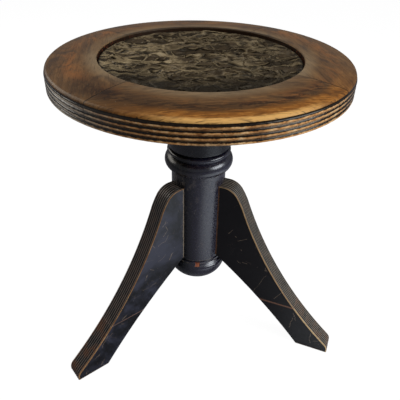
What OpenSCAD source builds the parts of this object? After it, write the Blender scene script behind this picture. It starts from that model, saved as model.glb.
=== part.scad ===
// Revolving piano stool: a round reeded seat with a leather panel, on an iron
// screw that winds into a turned column with three curved, reeded legs.
// Millimetres. The origin is on the floor, on the axis of the screw. +Z is up
// and +Y runs along the rear leg. The seat is drawn wound right down.

/* [Seat] */
// Diameter of the seat over the reeded rim
seat_d = 360; // [330:1:400]
// Height of the rim from its underside to the edge of the leather recess
rim_h = 27.4; // [26:0.1:31]
// Height of the reeded band, from the underside up to the nosing
rim_band_h = 19.6; // [18.6:0.1:20.6]
// Number of reeds round the rim
rim_reeds = 4; // [3:1:4]
// Spacing of the rim reeds
rim_reed_pitch = 5.3; // [4.9:0.1:5.6]
// Depth of the grooves between the rim reeds
rim_reed_depth = 1.3; // [0.9:0.1:1.6]
// Radius of the nosing above the reeds
nosing_r = 4.2; // [3.6:0.1:4.8]
// Set-back of the nosing from the crests of the reeds
nosing_setback = 0.8; // [0.4:0.1:1.4]
// Rise of the ring's crown above a straight line across it
crown_rise = 1.2; // [0.8:0.1:2.5]
// Diameter of the recess that the leather fills
recess_d = 241.6; // [220:0.2:256]
// Rounding of the edge of the recess
recess_edge_r = 1.2; // [0.6:0.1:2]
// Diameter of the seat board under the ring
board_d = 300; // [286:1:312]
// Thickness of the seat board
board_t = 12; // [10:0.5:13]

/* [Leather] */
// Thickness of the stuffing on the seat board
stuffing_t = 7; // [5:0.5:8]
// Height of the leather above the stuffing, at its edge
leather_edge_h = 4; // [3:0.1:5]
// Rise of the leather from its edge to the middle
leather_crown_h = 1.6; // [0:0.1:4]
// Height of the main creases, from hollow to ridge
crease_h = 2.4; // [0:0.1:3.2]
// Spacing of the main creases
crease_pitch = 46; // [30:1:80]
// Thickness of the leather where it turns down the side
leather_side_t = 2.2; // [1.5:0.1:3]
// Rounding of the leather where it turns down the side
leather_edge_r = 2.4; // [1.6:0.1:2.8]

/* [Column] */
// Radius of the plain shaft
shaft_r = 36.9; // [34:0.1:40]
// Height of the column's top above the floor
column_top_z = 303.5; // [296:0.5:312]
// Height of the underside of the rounded button at the foot of the column
button_z = 89.5; // [88:0.5:98]
// Radius of the button at its widest
button_r = 42.5; // [41.5:0.1:45]
// Radius of the curve under the button
button_curve_r = 28.5; // [20:0.5:30]
// Radius of the upper shoulder of the button
button_shoulder_r = 6; // [4:0.5:6.5]
// Height of the moulding between the button and the shaft
foot_moulding_h = 8; // [6:0.5:8.5]
// Set-out of the moulding's fillet from the shaft
foot_fillet_out = 1.5; // [0.8:0.1:2]
// Radius of the big torus near the top
torus_r = 45.9; // [43:0.1:48]
// Radius of the torus's own curve
torus_curve_r = 12; // [9:0.1:12.5]
// Depth of the torus's middle below the column's top
torus_drop = 18.6; // [17.5:0.1:20]
// Radius of the bead at the top edge
bead_r = 42.4; // [41:0.1:44]
// Radius of the bead's own curve
bead_curve_r = 3.2; // [2.8:0.1:3.6]

/* [Boss] */
// Length of the turned boss between the column and the seat board
boss_h = 90.4; // [80:0.2:110]
// Radius of the boss's plain part
boss_r = 41.2; // [40.5:0.1:43]
// Rounding of the boss's lower edge
boss_edge_r = 1.8; // [1:0.1:3]
// Radius of the boss's flange under the seat board
boss_flange_r = 64; // [60:0.5:72]
// Thickness of the boss's flange
boss_flange_t = 9; // [7:0.5:12]
// Radius of the hollow curve between the flange and the plain part
boss_cove_r = 20; // [14:0.5:22]

/* [Legs] */
// Thickness of each leg
leg_t = 26; // [24:0.5:30]
// Number of reeds on the face of each leg
leg_reeds = 7; // [5:1:9]
// Depth of the grooves between the leg reeds
leg_reed_depth = 1; // [0.6:0.1:1.2]
// Height of the top of the legs, where they meet the column
leg_top_z = 253.5; // [244:0.5:258]
// Height of the lowest point of the legs at the column
leg_root_z = 135.5; // [132:0.5:142]
// Distance from the axis to the tips of the toes
leg_reach = 220; // [205:0.5:240]
// Length of each foot on the floor
foot_length = 46.5; // [40:0.5:56]
// Height at which the toes turn upright
toe_z = 4.2; // [3.6:0.1:9]
// Radius of the leg's tight curve at the top
shoulder_r = 22.8; // [20:0.2:28]
// Distance from the axis at which that curve starts
leg_neck_u = 42; // [41:0.1:46]
// Radius of the slower curve below it
thigh_r = 105; // [85:1:120]
// Radius of the long hollow curve of the shin
shin_r = 560; // [480:1:640]
// Radius of the toe
toe_r = 13; // [11:0.2:20]
// Rise of the arch in the leg's underside
arch_rise = 5.2; // [3:0.2:12]
// Height of the level joint between leg and foot
foot_joint_z = 71; // [62:1:82]
// Distance from the axis to the flats that carry the legs
leg_seat_u = 34.2; // [33:0.1:34.8]

/* [Dowels and tongues] */
// Diameter of the dowels between the legs and the column
leg_dowel_d = 12; // [10:0.5:13]
// Depth of those dowels in the column
leg_dowel_in = 17; // [13:0.5:17.4]
// Length of those dowels in the leg
leg_dowel_out = 27; // [20:1:30]
// Height of the lower dowel above the leg's root
lower_dowel_rise = 31; // [28:1:40]
// Distance between the lower and the upper dowel
leg_dowel_gap = 57; // [45:1:62]
// Diameter of the dowels between the legs and the feet
foot_dowel_d = 8; // [6:0.5:8.5]
// Length of the dowels between the legs and the feet
foot_dowel_l = 28; // [20:1:30]
// Distance from the axis to the foot dowels
foot_dowel_u = 140; // [138:0.5:142]
// Distance between the two dowels in one foot
foot_dowel_gap = 13; // [10:0.5:14]
// Width of the loose tongues across the joints of the ring
tongue_w = 22; // [16:1:24]
// Length of the loose tongues
tongue_l = 24; // [16:1:30]
// Thickness of the loose tongues
tongue_t = 4; // [3:0.5:5]

/* [Screw] */
// Diameter of the lifting screw
screw_d = 25; // [22:0.5:26]
// Length of the lifting screw
screw_l = 258; // [240:1:262]
// Radius of the nut's barrel
nut_r = 19; // [17:0.5:20]
// Length of the nut, with its flange
nut_l = 41; // [34:1:48]
// Radius of the nut's flange
nut_flange_r = 31; // [30:0.5:32]
// Thickness of the nut's flange
nut_flange_t = 4; // [3:0.5:5]
// Radius of the thrust washer
washer_r = 33.5; // [28:0.5:36]
// Thickness of the thrust washer
washer_t = 2.5; // [2:0.1:4]
// Radius of the screw plate
plate_r = 38; // [36:0.5:38.5]
// Thickness of the screw plate
plate_t = 5; // [4:0.5:6]
// Radius of the hub under the screw plate
hub_r = 20; // [18:0.5:22]
// Length of the hub under the screw plate
hub_l = 15; // [10:1:20]

/* [Wood screws] */
// Number of screws that hold the nut's flange
nut_screw_count = 3; // [3:1:4]
// Number of screws that hold the screw plate
plate_screw_count = 4; // [3:1:6]
// Number of screws that hold the boss's flange
boss_screw_count = 4; // [3:1:6]
// Shank diameter of the wood screws
wood_screw_d = 4.5; // [4:0.1:5]
// Head diameter of the wood screws
wood_screw_head_d = 8.6; // [8:0.1:9]
// Length of the screws that go up through the seat board
board_screw_l = 22; // [18:0.5:23]
// Length of the other wood screws
short_screw_l = 14; // [10:0.5:15]

/* [Hidden] */
$fn = 96;
// Clearance round glued dowels and tongues, and round screws in their holes
glue_gap = 0.1;
// Running clearance between the lifting screw and the nut, on the radius
thread_gap = 0.05;
// Clearance of the leather from the wall of its recess
leather_gap = 0.3;
// Clearance of the lifting screw in wood, and in the washer
wood_gap = 1.5;
washer_gap = 0.3;
// Spare depth past the end of a screw, dowel or spindle
end_gap = 2;
// Overrun of every cutter
over = 2;
// Half of that overrun, where one cutter has to stay inside another
half_over = over / 2;
// How far each reeding cutter runs on past the end of its own curve
run_on = 0.3;
// How far the reeds of a leg stop short of the glue joint with its foot
reed_ease = 0.4;

// Azimuth of each leg: rear, left and right as the sitter faces the keys
rear_leg_at = 90;
left_leg_at = 210;
right_leg_at = 330;
leg_angles = [rear_leg_at, left_leg_at, right_leg_at];
// Azimuth of each glued joint of the ring
joint_front_left = 224;
joint_front_right = 318;
joint_rear_right = 48;
joint_rear_left = 134;
rim_joints = [joint_front_left, joint_front_right, joint_rear_right, joint_rear_left];
// How far the leg's heading has dropped below level at the end of its top curve, and at the toe
shoulder_turn = 55;
toe_turn = 90;
// Each curve starts this much steeper than the last one ends, so the cutters cross
kink = 1;
// Creases of the leather: heading, pitch as a share of the widest, and how far they wander
crease_shares = [[62, 1, 70], [148, 0.8, 55], [15, 0.55, 40]];
// Where the board screws stand along a rim segment
board_screw_shares = [0.25, 0.75];
// Place of the board screws between the recess and the edge of the board
board_screw_share = 0.52;
// Place of the tongues between the recess and the outside of the seat
tongue_share = 0.62;
// Depth of a screwdriver slot, and its width, as shares of the head
slot_depth_share = 0.2;
slot_width_share = 0.16;
// Depth of a countersunk head as a share of its diameter
head_depth_share = 0.35;
// Smoothness of the long curves of the legs
long_fn = 480;

seat_r = seat_d / 2;
recess_r = recess_d / 2;
board_r = board_d / 2;
screw_r = screw_d / 2;
wood_screw_r = wood_screw_d / 2;
wood_screw_head_r = wood_screw_head_d / 2;
head_depth = wood_screw_head_d * head_depth_share;

// Heights of the seat's parts, from the column up
boss_z = column_top_z + washer_t;
seat_z = boss_z + boss_h;
board_top_z = seat_z + board_t;
rim_edge_z = seat_z + rim_h;
screw_z = seat_z - screw_l;
hub_z = seat_z - plate_t - hub_l;

// Radius of a reed whose chord is the pitch and whose rise is the depth
function reed_r(pitch, depth) = (pitch * pitch / 4 + depth * depth) / (2 * depth);
// Heading below level, as a vector from the centre of a curve to its edge
function lean(a) = [sin(a), cos(a)];
// Points along a round curve, from angle a0 to a1
function arc(c, r, a0, a1, steps) =
    [for (i = [0:steps]) c + r * lean(a0 + (a1 - a0) * i / steps)];

// Rim

rim_reed_curve_r = reed_r(rim_reed_pitch, rim_reed_depth);
nosing_c = [seat_r - nosing_setback - nosing_r, seat_z + rim_band_h];
crown_from = [recess_r, rim_edge_z];
crown_to = nosing_c + [0, nosing_r];
crown_mid = (crown_from + crown_to) / 2;
crown_span = norm(crown_to - crown_from);
crown_dir = (crown_to - crown_from) / crown_span;
crown_r = (crown_span * crown_span / 4 + crown_rise * crown_rise) / (2 * crown_rise);
crown_c = crown_mid + (crown_r - crown_rise) * [crown_dir[1], -crown_dir[0]];

// Half section of the ring: crowned top, nosing and reeds, rebated for the board
module rim_section() {
    reed_core_r = seat_r - rim_reed_depth - rim_reed_depth / 4;
    difference() {
        union() {
            intersection() {
                translate(crown_c) circle(r = crown_r, $fn = long_fn);
                union() {
                    translate([recess_r + recess_edge_r, seat_z])
                        square([nosing_c[0] - recess_r - recess_edge_r, rim_h + over]);
                    translate([recess_r, seat_z])
                        square([recess_edge_r, rim_h - recess_edge_r]);
                    translate([recess_r + recess_edge_r, rim_edge_z - recess_edge_r])
                        circle(r = recess_edge_r);
                }
            }
            translate([nosing_c[0] - half_over, seat_z])
                square([reed_core_r - nosing_c[0] + half_over, rim_band_h]);
            translate(nosing_c) circle(r = nosing_r);
            for (i = [0:rim_reeds - 1])
                translate([seat_r - rim_reed_curve_r,
                           seat_z + rim_band_h - rim_reed_pitch * (i + 1 / 2)])
                    circle(r = rim_reed_curve_r);
        }
        translate([0, seat_z - rim_h]) square([seat_d, rim_h]);
        translate([0, seat_z - over]) square([board_r + glue_gap, board_t + over]);
    }
}

// A loose tongue lying across the joint at azimuth a, grown by gap all round
module tongue_at(a, gap) {
    tongue_r = recess_r + (seat_r - recess_r) * tongue_share;
    rotate([0, 0, a])
        translate([tongue_r - tongue_w / 2 - gap,
                   -tongue_l / 2 - gap,
                   seat_z + rim_band_h - tongue_t / 2 - gap - tongue_t])
            cube([tongue_w + 2 * gap, tongue_l + 2 * gap, tongue_t + 2 * gap]);
}

// A countersunk wood screw that points up, its head's face at z = 0
module wood_screw(length) {
    difference() {
        union() {
            cylinder(r1 = wood_screw_head_r, r2 = wood_screw_r, h = head_depth);
            cylinder(r = wood_screw_r, h = length);
        }
        translate([-wood_screw_head_d, -wood_screw_head_d * slot_width_share / 2, -over])
            cube([2 * wood_screw_head_d, wood_screw_head_d * slot_width_share,
                  over + wood_screw_head_d * slot_depth_share]);
    }
}

// The hole that such a screw fills
module wood_screw_hole(length) {
    translate([0, 0, -glue_gap])
        cylinder(r1 = wood_screw_head_r + 2 * glue_gap, r2 = wood_screw_r + glue_gap,
                 h = head_depth + glue_gap);
    translate([0, 0, -over])
        cylinder(r = wood_screw_r + glue_gap, h = length + end_gap / 2 + over);
    translate([0, 0, -over])
        cylinder(r = wood_screw_head_r + 2 * glue_gap, h = over);
}

board_screw_ring_r = recess_r + (board_r - recess_r) * board_screw_share;

// Places of the board screws: two under each rim segment
module at_board_screws() {
    for (i = [0:len(rim_joints) - 1], s = board_screw_shares)
        rotate([0, 0, rim_joints[i] + s * segment_angle(i)])
            translate([board_screw_ring_r, 0, seat_z])
                children();
}

// Angle from joint i to the next one round the ring
function segment_angle(i) =
    (rim_joints[(i + 1) % len(rim_joints)] - rim_joints[i] + 360) % 360;

module rim_segment(i) {
    color([0.43, 0.31, 0.18])
    difference() {
        rotate([0, 0, rim_joints[i]])
            rotate_extrude(angle = segment_angle(i), $fn = 2 * $fn)
                rim_section();
        tongue_at(rim_joints[i], glue_gap);
        tongue_at(rim_joints[(i + 1) % len(rim_joints)], glue_gap);
        at_board_screws() wood_screw_hole(board_screw_l);
    }
}

module rim_front() { rim_segment(0); }
module rim_right() { rim_segment(1); }
module rim_rear() { rim_segment(2); }
module rim_left() { rim_segment(3); }

module rim_tongues() {
    color([0.72, 0.56, 0.36])
    for (a = rim_joints) tongue_at(a, 0);
}

// Seat board, stuffing and leather

plate_screw_ring_r = (hub_r + plate_r) / 2;
boss_screw_ring_r = (boss_r + boss_flange_r) / 2;

module at_plate_screws() {
    for (i = [0:plate_screw_count - 1])
        rotate([0, 0, 360 / plate_screw_count * i])
            translate([plate_screw_ring_r, 0, seat_z - plate_t])
                children();
}

module at_boss_screws() {
    for (i = [0:boss_screw_count - 1])
        rotate([0, 0, 360 / boss_screw_count * (i + 1 / 2)])
            translate([boss_screw_ring_r, 0, seat_z - boss_flange_t])
                children();
}

module seat_board() {
    color([0.55, 0.42, 0.27])
    difference() {
        translate([0, 0, seat_z]) cylinder(r = board_r, h = board_t);
        at_board_screws() wood_screw_hole(board_screw_l);
        at_plate_screws() wood_screw_hole(short_screw_l);
        at_boss_screws() wood_screw_hole(boss_flange_t + board_t / 2);
    }
}

module board_screws() {
    color([0.42, 0.38, 0.34])
    at_board_screws() wood_screw(board_screw_l);
}

leather_r = recess_r - leather_gap;
stuffing_r = leather_r - leather_side_t;

module seat_stuffing() {
    color([0.62, 0.55, 0.42])
    translate([0, 0, board_top_z])
        cylinder(r = stuffing_r - leather_gap, h = stuffing_t);
}

// Rings and spokes of the leather's upper side
leather_rings = 13;
leather_spokes = 52;

// A crease: a sharp ridge that repeats across the direction a, bent by a slow wave
function ridge(x, y, a, pitch, bend) =
    let (run = x * cos(a) + y * sin(a),
         side = y * cos(a) - x * sin(a),
         wave = run / pitch * 180 + bend * sin(side / pitch * 120))
    1 - 2 * abs(sin(wave));

// Creases of three sizes that cross each other, between -1 and 1
function creases(x, y) =
    let (folds = [for (c = crease_shares) ridge(x, y, c[0], crease_pitch * c[1], c[2])])
    (folds[0] + folds[1] + folds[2]) / len(folds);

// Height of the leather above the stuffing at radius r and azimuth a
function leather_h(r, a) =
    let (share = r / leather_r,
         calm = 1 - pow(share, 6))
    leather_edge_h + leather_crown_h * (1 - share * share)
    + crease_h / 2 * calm * creases(r * cos(a), r * sin(a));

// The cushion's upper side is a net of rings and spokes that closes at the
// middle. Its sides turn down over a rounded edge to the seat board.
module leather_cover() {
    top_z = board_top_z + stuffing_t;
    turn_steps = 3;
    flat_r = leather_r - leather_edge_r;
    net = concat(
        [for (i = [1:leather_rings], j = [0:leather_spokes - 1])
            let (r = flat_r * i / leather_rings, a = 360 * j / leather_spokes)
            [r * cos(a), r * sin(a), top_z + leather_h(r, a)]],
        [for (i = [1:turn_steps], j = [0:leather_spokes - 1])
            let (turn = 90 * i / turn_steps,
                 a = 360 * j / leather_spokes,
                 r = flat_r + leather_edge_r * sin(turn))
            [r * cos(a), r * sin(a),
             top_z + leather_h(flat_r, a) - leather_edge_r * (1 - cos(turn))]],
        [for (j = [0:leather_spokes - 1])
            let (a = 360 * j / leather_spokes)
            [leather_r * cos(a), leather_r * sin(a), board_top_z]]);
    rows = leather_rings + turn_steps + 1;
    top = len(net);
    bottom = top + 1;
    points = concat(net, [[0, 0, top_z + leather_h(0, 0)], [0, 0, board_top_z]]);
    function at(i, j) = i * leather_spokes + j % leather_spokes;
    faces = concat(
        [for (j = [0:leather_spokes - 1]) [top, at(0, j + 1), at(0, j)]],
        [for (i = [0:rows - 2], j = [0:leather_spokes - 1])
            [at(i, j), at(i, j + 1), at(i + 1, j)]],
        [for (i = [0:rows - 2], j = [0:leather_spokes - 1])
            [at(i, j + 1), at(i + 1, j + 1), at(i + 1, j)]],
        [for (j = [0:leather_spokes - 1]) [bottom, at(rows - 1, j), at(rows - 1, j + 1)]]);
    color([0.28, 0.24, 0.19])
    difference() {
        polyhedron(points = points, faces = faces);
        translate([0, 0, board_top_z - over])
            cylinder(r = stuffing_r, h = stuffing_t + over);
    }
}

// Turned boss

module boss() {
    neck_top_z = seat_z - boss_flange_t - boss_cove_r;
    cove_c = [boss_r + boss_cove_r, neck_top_z];
    color([0.12, 0.12, 0.14])
    difference() {
        rotate_extrude($fn = 2 * $fn)
            difference() {
                union() {
                    translate([0, boss_z + boss_edge_r])
                        square([boss_r, boss_h - boss_edge_r]);
                    translate([0, boss_z]) square([boss_r - boss_edge_r, boss_h]);
                    translate([boss_r - boss_edge_r, boss_z + boss_edge_r])
                        circle(r = boss_edge_r);
                    translate([0, seat_z - boss_flange_t])
                        square([boss_flange_r, boss_flange_t]);
                    difference() {
                        translate([0, neck_top_z])
                            square([boss_r + boss_cove_r, boss_cove_r]);
                        translate(cove_c) circle(r = boss_cove_r);
                    }
                }
                translate([-over, boss_z - over])
                    square([screw_r + wood_gap + over, boss_h + 2 * over]);
            }
        translate([0, 0, seat_z - plate_t])
            cylinder(r = plate_r + glue_gap, h = plate_t + over);
        translate([0, 0, hub_z - glue_gap])
            cylinder(r = hub_r + glue_gap, h = hub_l + plate_t + over);
        at_boss_screws() wood_screw_hole(boss_flange_t + board_t / 2);
    }
}

module boss_screws() {
    color([0.42, 0.38, 0.34])
    at_boss_screws() wood_screw(boss_flange_t + board_t / 2);
}

// Lifting screw, its plate, the nut and the washer

module lift_screw() {
    color([0.42, 0.4, 0.38])
    translate([0, 0, screw_z]) cylinder(r = screw_r, h = screw_l);
}

module screw_plate() {
    color([0.25, 0.24, 0.23])
    difference() {
        union() {
            translate([0, 0, seat_z - plate_t]) cylinder(r = plate_r, h = plate_t);
            translate([0, 0, hub_z]) cylinder(r = hub_r, h = hub_l + plate_t / 2);
        }
        translate([0, 0, hub_z - over])
            cylinder(r = screw_r + thread_gap, h = hub_l + plate_t + 2 * over);
        at_plate_screws() wood_screw_hole(short_screw_l);
    }
}

module plate_screws() {
    color([0.42, 0.38, 0.34])
    at_plate_screws() wood_screw(short_screw_l);
}

module thrust_washer() {
    color([0.16, 0.12, 0.09])
    translate([0, 0, column_top_z])
    difference() {
        cylinder(r = washer_r, h = washer_t);
        translate([0, 0, -over])
            cylinder(r = screw_r + washer_gap, h = washer_t + 2 * over);
    }
}

nut_screw_ring_r = (nut_r + nut_flange_r) / 2;

module at_nut_screws() {
    for (i = [0:nut_screw_count - 1])
        rotate([0, 0, 360 / nut_screw_count * i])
            translate([nut_screw_ring_r, 0, column_top_z])
                mirror([0, 0, 1])
                    children();
}

module screw_nut() {
    color([0.25, 0.24, 0.23])
    difference() {
        union() {
            translate([0, 0, column_top_z - nut_l]) cylinder(r = nut_r, h = nut_l);
            translate([0, 0, column_top_z - nut_flange_t])
                cylinder(r = nut_flange_r, h = nut_flange_t);
        }
        translate([0, 0, column_top_z - nut_l - over])
            cylinder(r = screw_r + thread_gap, h = nut_l + 2 * over);
        at_nut_screws() wood_screw_hole(short_screw_l);
    }
}

module nut_screws() {
    color([0.42, 0.38, 0.34])
    at_nut_screws() wood_screw(short_screw_l);
}

// Column

button_c = [button_r - button_curve_r, button_z + button_curve_r];
button_shoulder_c = [button_r - button_shoulder_r, button_c[1]];
moulding_z = button_shoulder_c[1] + button_shoulder_r - half_over;
shaft_foot_z = moulding_z + foot_moulding_h - half_over;

// Half section of the turned column, from the button up to the bead
module column_section() {
    intersection() {
        translate(button_c) circle(r = button_curve_r);
        square([button_r + over, button_c[1]]);
    }
    translate([0, button_z]) square([button_c[0], button_curve_r]);
    translate([0, button_c[1] - half_over])
        square([button_shoulder_c[0], button_shoulder_r + half_over]);
    intersection() {
        translate(button_shoulder_c) circle(r = button_shoulder_r);
        translate([0, button_c[1]]) square([button_r + over, button_shoulder_r + over]);
    }
    polygon([
        [0, moulding_z],
        [button_r - foot_fillet_out, moulding_z],
        [button_r - foot_fillet_out, moulding_z + half_over],
        [shaft_r + 2 * foot_fillet_out, moulding_z + foot_moulding_h / 4],
        [shaft_r + foot_fillet_out, moulding_z + foot_moulding_h / 2],
        [shaft_r + foot_fillet_out, shaft_foot_z],
        [0, shaft_foot_z]]);
    translate([0, shaft_foot_z - half_over])
        square([shaft_r, column_top_z - torus_drop - shaft_foot_z + half_over]);
    translate([torus_r - torus_curve_r, column_top_z - torus_drop])
        circle(r = torus_curve_r);
    translate([0, column_top_z - torus_drop - half_over])
        square([bead_r - bead_curve_r, torus_drop + half_over]);
    translate([bead_r - bead_curve_r, column_top_z - bead_curve_r])
        circle(r = bead_curve_r);
}

// Stands its children at every leg, with the leg running out along +X
module at_legs() {
    for (a = leg_angles) rotate([0, 0, a]) children();
}

module column() {
    color([0.12, 0.12, 0.14])
    difference() {
        rotate_extrude($fn = 2 * $fn) column_section();
        translate([0, 0, screw_z - 2 * end_gap])
            cylinder(r = screw_r + wood_gap, h = column_top_z);
        translate([0, 0, column_top_z - nut_l - glue_gap])
            cylinder(r = nut_r + glue_gap, h = nut_l + over);
        translate([0, 0, column_top_z - nut_flange_t])
            cylinder(r = nut_flange_r + glue_gap, h = nut_flange_t + over);
        at_nut_screws() wood_screw_hole(short_screw_l);
        at_legs() {
            difference() {
                translate([leg_seat_u, -leg_t / 2, moulding_z])
                    cube([shaft_r, leg_t, leg_top_z + leg_reed_depth - moulding_z]);
                // The floor of the pocket follows the underside of the leg
                translate([arch_c[0], 0, arch_c[1]])
                    rotate([90, 0, 0])
                        cylinder(r = arch_r - glue_gap, h = 2 * leg_t,
                                 center = true, $fn = 2 * long_fn);
            }
            leg_dowel_holes();
        }
    }
}

// Legs, drawn in the plane of one leg: u out from the axis, z up

top_end = [leg_neck_u, leg_top_z];
shoulder_c = top_end - shoulder_r * lean(kink);
thigh_c = shoulder_c + shoulder_r * lean(shoulder_turn) - thigh_r * lean(shoulder_turn + kink);
toe_c = [leg_reach, toe_z] - toe_r * lean(toe_turn - kink);

// Distance between the centres of two curves that bend opposite ways and meet at the kink
function apart(a, b) = sqrt(a * a + b * b + 2 * a * b * cos(kink));
// Heading below level of a line between two places
function heading(from, to) = atan2(to[0] - from[0], to[1] - from[1]);

// The shin's centre stands where its curve meets both the thigh and the toe
thigh_apart = apart(thigh_r, shin_r);
toe_apart = apart(toe_r, shin_r);
ends_apart = norm(toe_c - thigh_c);
shin_corner = acos((thigh_apart * thigh_apart + ends_apart * ends_apart - toe_apart * toe_apart)
                   / (2 * thigh_apart * ends_apart));
shin_c = thigh_c + thigh_apart * lean(heading(thigh_c, toe_c) - shin_corner);
thigh_turn = heading(thigh_c, shin_c) - asin(shin_r * sin(kink) / thigh_apart);
shin_turn = heading(toe_c, shin_c) - asin(toe_r * sin(kink) / toe_apart);

// The underside is one long arch between the column and the heel
heel = [leg_reach - foot_length, 0];
root = [leg_seat_u, leg_root_z];
arch_span = norm(heel - root);
arch_dir = (heel - root) / arch_span;
arch_r = (arch_span * arch_span / 4 + arch_rise * arch_rise) / (2 * arch_rise);
arch_c = (heel + root) / 2 + (arch_r - arch_rise) * [arch_dir[1], -arch_dir[0]];

leg_reed_pitch = leg_t / leg_reeds;
leg_reed_curve_r = reed_r(leg_reed_pitch, leg_reed_depth);
// Wood left above the crests, for the reeding to cut away
stock = leg_reed_depth + half_over / 2;
curve_steps = 12;

// Outline of the leg before reeding, with stock left along the reeded edge
module leg_blank_outline() {
    difference() {
        polygon(concat(
            [root - [0, over], [leg_seat_u, leg_top_z + stock]],
            arc(shoulder_c, shoulder_r + stock, kink, shoulder_turn, curve_steps),
            arc(thigh_c, thigh_r + stock, shoulder_turn + kink, thigh_turn, curve_steps),
            arc(shin_c, -(shin_r - stock), thigh_turn + kink, shin_turn, curve_steps),
            arc(toe_c, toe_r + stock, shin_turn + kink, toe_turn - kink, curve_steps),
            [[leg_reach + stock, 0], heel - [over, 0]]));
        translate(arch_c) circle(r = arch_r, $fn = 2 * long_fn);
    }
}

// Section of the reeding cutter: all above the groove bottoms but the reeds
module comb() {
    difference() {
        translate([-leg_reed_depth / 4, -leg_t / 2 - half_over])
            square([leg_reed_depth * 5 / 4 + over, leg_t + over]);
        for (i = [0:leg_reeds - 1])
            translate([leg_reed_depth - leg_reed_curve_r,
                       (i - (leg_reeds - 1) / 2) * leg_reed_pitch])
                circle(r = leg_reed_curve_r);
    }
}

// Angle by which a cutter of radius r runs on past each end
function run_on_turn(r) = run_on / r * 180 / PI;

// Sweeps the cutter round the outside of a curve that drops from one heading to the next
module comb_over(c, r, from_turn, to_turn) {
    more = run_on_turn(r);
    translate([c[0], 0, c[1]])
        rotate([90, 0, 0])
            rotate([0, 0, 90 - to_turn - more])
                rotate_extrude(angle = to_turn - from_turn + 2 * more, $fn = long_fn)
                    translate([r, 0])
                        comb();
}

// Sweeps the cutter round the inside of a curve that flattens from one heading to the next
module comb_under(c, r, from_turn, to_turn) {
    more = run_on_turn(r);
    translate([c[0], 0, c[1]])
        rotate([90, 0, 0])
            rotate([0, 0, 270 - from_turn - more])
                rotate_extrude(angle = from_turn - to_turn + 2 * more, $fn = long_fn)
                    translate([r, 0])
                        mirror([1, 0])
                            comb();
}

module reeding() {
    translate([0, 0, leg_top_z])
        rotate([0, -90, 0])
            mirror([0, 0, 1])
                linear_extrude(height = top_end[0] + run_on)
                    comb();
    comb_over(shoulder_c, shoulder_r, kink, shoulder_turn);
    comb_over(thigh_c, thigh_r, shoulder_turn + kink, thigh_turn);
    comb_under(shin_c, shin_r, thigh_turn + kink, shin_turn);
    comb_over(toe_c, toe_r, shin_turn + kink, toe_turn - kink);
    translate([leg_reach, 0, -over])
        linear_extrude(height = toe_z + over + run_on)
            comb();
}

// Two dowel holes that start in the column and run out into the leg
module leg_dowel_holes() {
    for (rise = [0, leg_dowel_gap])
        translate([leg_seat_u - leg_dowel_in - glue_gap, 0,
                   leg_root_z + lower_dowel_rise + rise])
            rotate([0, 90, 0])
                cylinder(r = leg_dowel_d / 2 + glue_gap,
                         h = leg_dowel_in + leg_dowel_out + 2 * glue_gap);
}

module foot_dowel_holes() {
    for (side = [-1, 1])
        translate([foot_dowel_u, side * foot_dowel_gap / 2,
                   foot_joint_z - foot_dowel_l / 2 - glue_gap])
            cylinder(r = foot_dowel_d / 2 + glue_gap, h = foot_dowel_l + 2 * glue_gap);
}

// The whole leg with its foot, reeded and drilled, before it is parted
module reeded_leg() {
    difference() {
        rotate([90, 0, 0])
            linear_extrude(height = leg_t, center = true)
                leg_blank_outline();
        reeding();
        leg_dowel_holes();
        foot_dowel_holes();
    }
}

// Heading of the reeded edge where it meets the level joint, and that place
joint_turn = acos((shin_c[1] - foot_joint_z) / shin_r);
joint_u = shin_c[0] - shin_r * sin(joint_turn);

module leg(a) {
    color([0.13, 0.14, 0.17])
    rotate([0, 0, a])
    difference() {
        reeded_leg();
        translate([0, -leg_t, foot_joint_z - leg_reach])
            cube([2 * leg_reach, 2 * leg_t, leg_reach]);
        // The reeds end square, just short of the joint
        translate([joint_u, 0, foot_joint_z])
            rotate([0, joint_turn, 0])
                translate([-reed_ease, -leg_t, -leg_t])
                    cube([2 * leg_t, 2 * leg_t, 2 * leg_t]);
    }
}

module foot(a) {
    color([0.19, 0.15, 0.12])
    rotate([0, 0, a])
    difference() {
        reeded_leg();
        translate([0, -leg_t, foot_joint_z])
            cube([2 * leg_reach, 2 * leg_t, leg_top_z]);
    }
}

module rear_leg() { leg(rear_leg_at); }
module left_leg() { leg(left_leg_at); }
module right_leg() { leg(right_leg_at); }
module rear_foot() { foot(rear_leg_at); }
module left_foot() { foot(left_leg_at); }
module right_foot() { foot(right_leg_at); }

module leg_dowels() {
    color([0.72, 0.56, 0.36])
    at_legs()
        for (rise = [0, leg_dowel_gap])
            translate([leg_seat_u - leg_dowel_in, 0, leg_root_z + lower_dowel_rise + rise])
                rotate([0, 90, 0])
                    cylinder(r = leg_dowel_d / 2, h = leg_dowel_in + leg_dowel_out);
}

module foot_dowels() {
    color([0.72, 0.56, 0.36])
    at_legs()
        for (side = [-1, 1])
            translate([foot_dowel_u, side * foot_dowel_gap / 2,
                       foot_joint_z - foot_dowel_l / 2])
                cylinder(r = foot_dowel_d / 2, h = foot_dowel_l);
}

column();
left_leg();
right_leg();
rear_leg();
left_foot();
right_foot();
rear_foot();
leg_dowels();
foot_dowels();
screw_nut();
nut_screws();
thrust_washer();
rim_front();
rim_right();
rim_rear();
rim_left();
rim_tongues();
seat_board();
board_screws();
seat_stuffing();
leather_cover();
boss();
boss_screws();
screw_plate();
plate_screws();
lift_screw();
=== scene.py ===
"""A revolving piano stool: a reeded ring seat round a creased leather panel, on an iron screw
in a turned, ebonised column with three reeded legs.

Each sub-assembly is a class that holds its sizes and makes its own pieces. Each finish is a
frozen dataclass that paints a material. Lengths are in metres, angles in degrees.
"""

import logging
import math
from dataclasses import dataclass, field
from enum import Enum
from functools import reduce
from typing import Callable, Optional, Sequence, Union

import bpy
import numpy as np
from mathutils import Matrix


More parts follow.
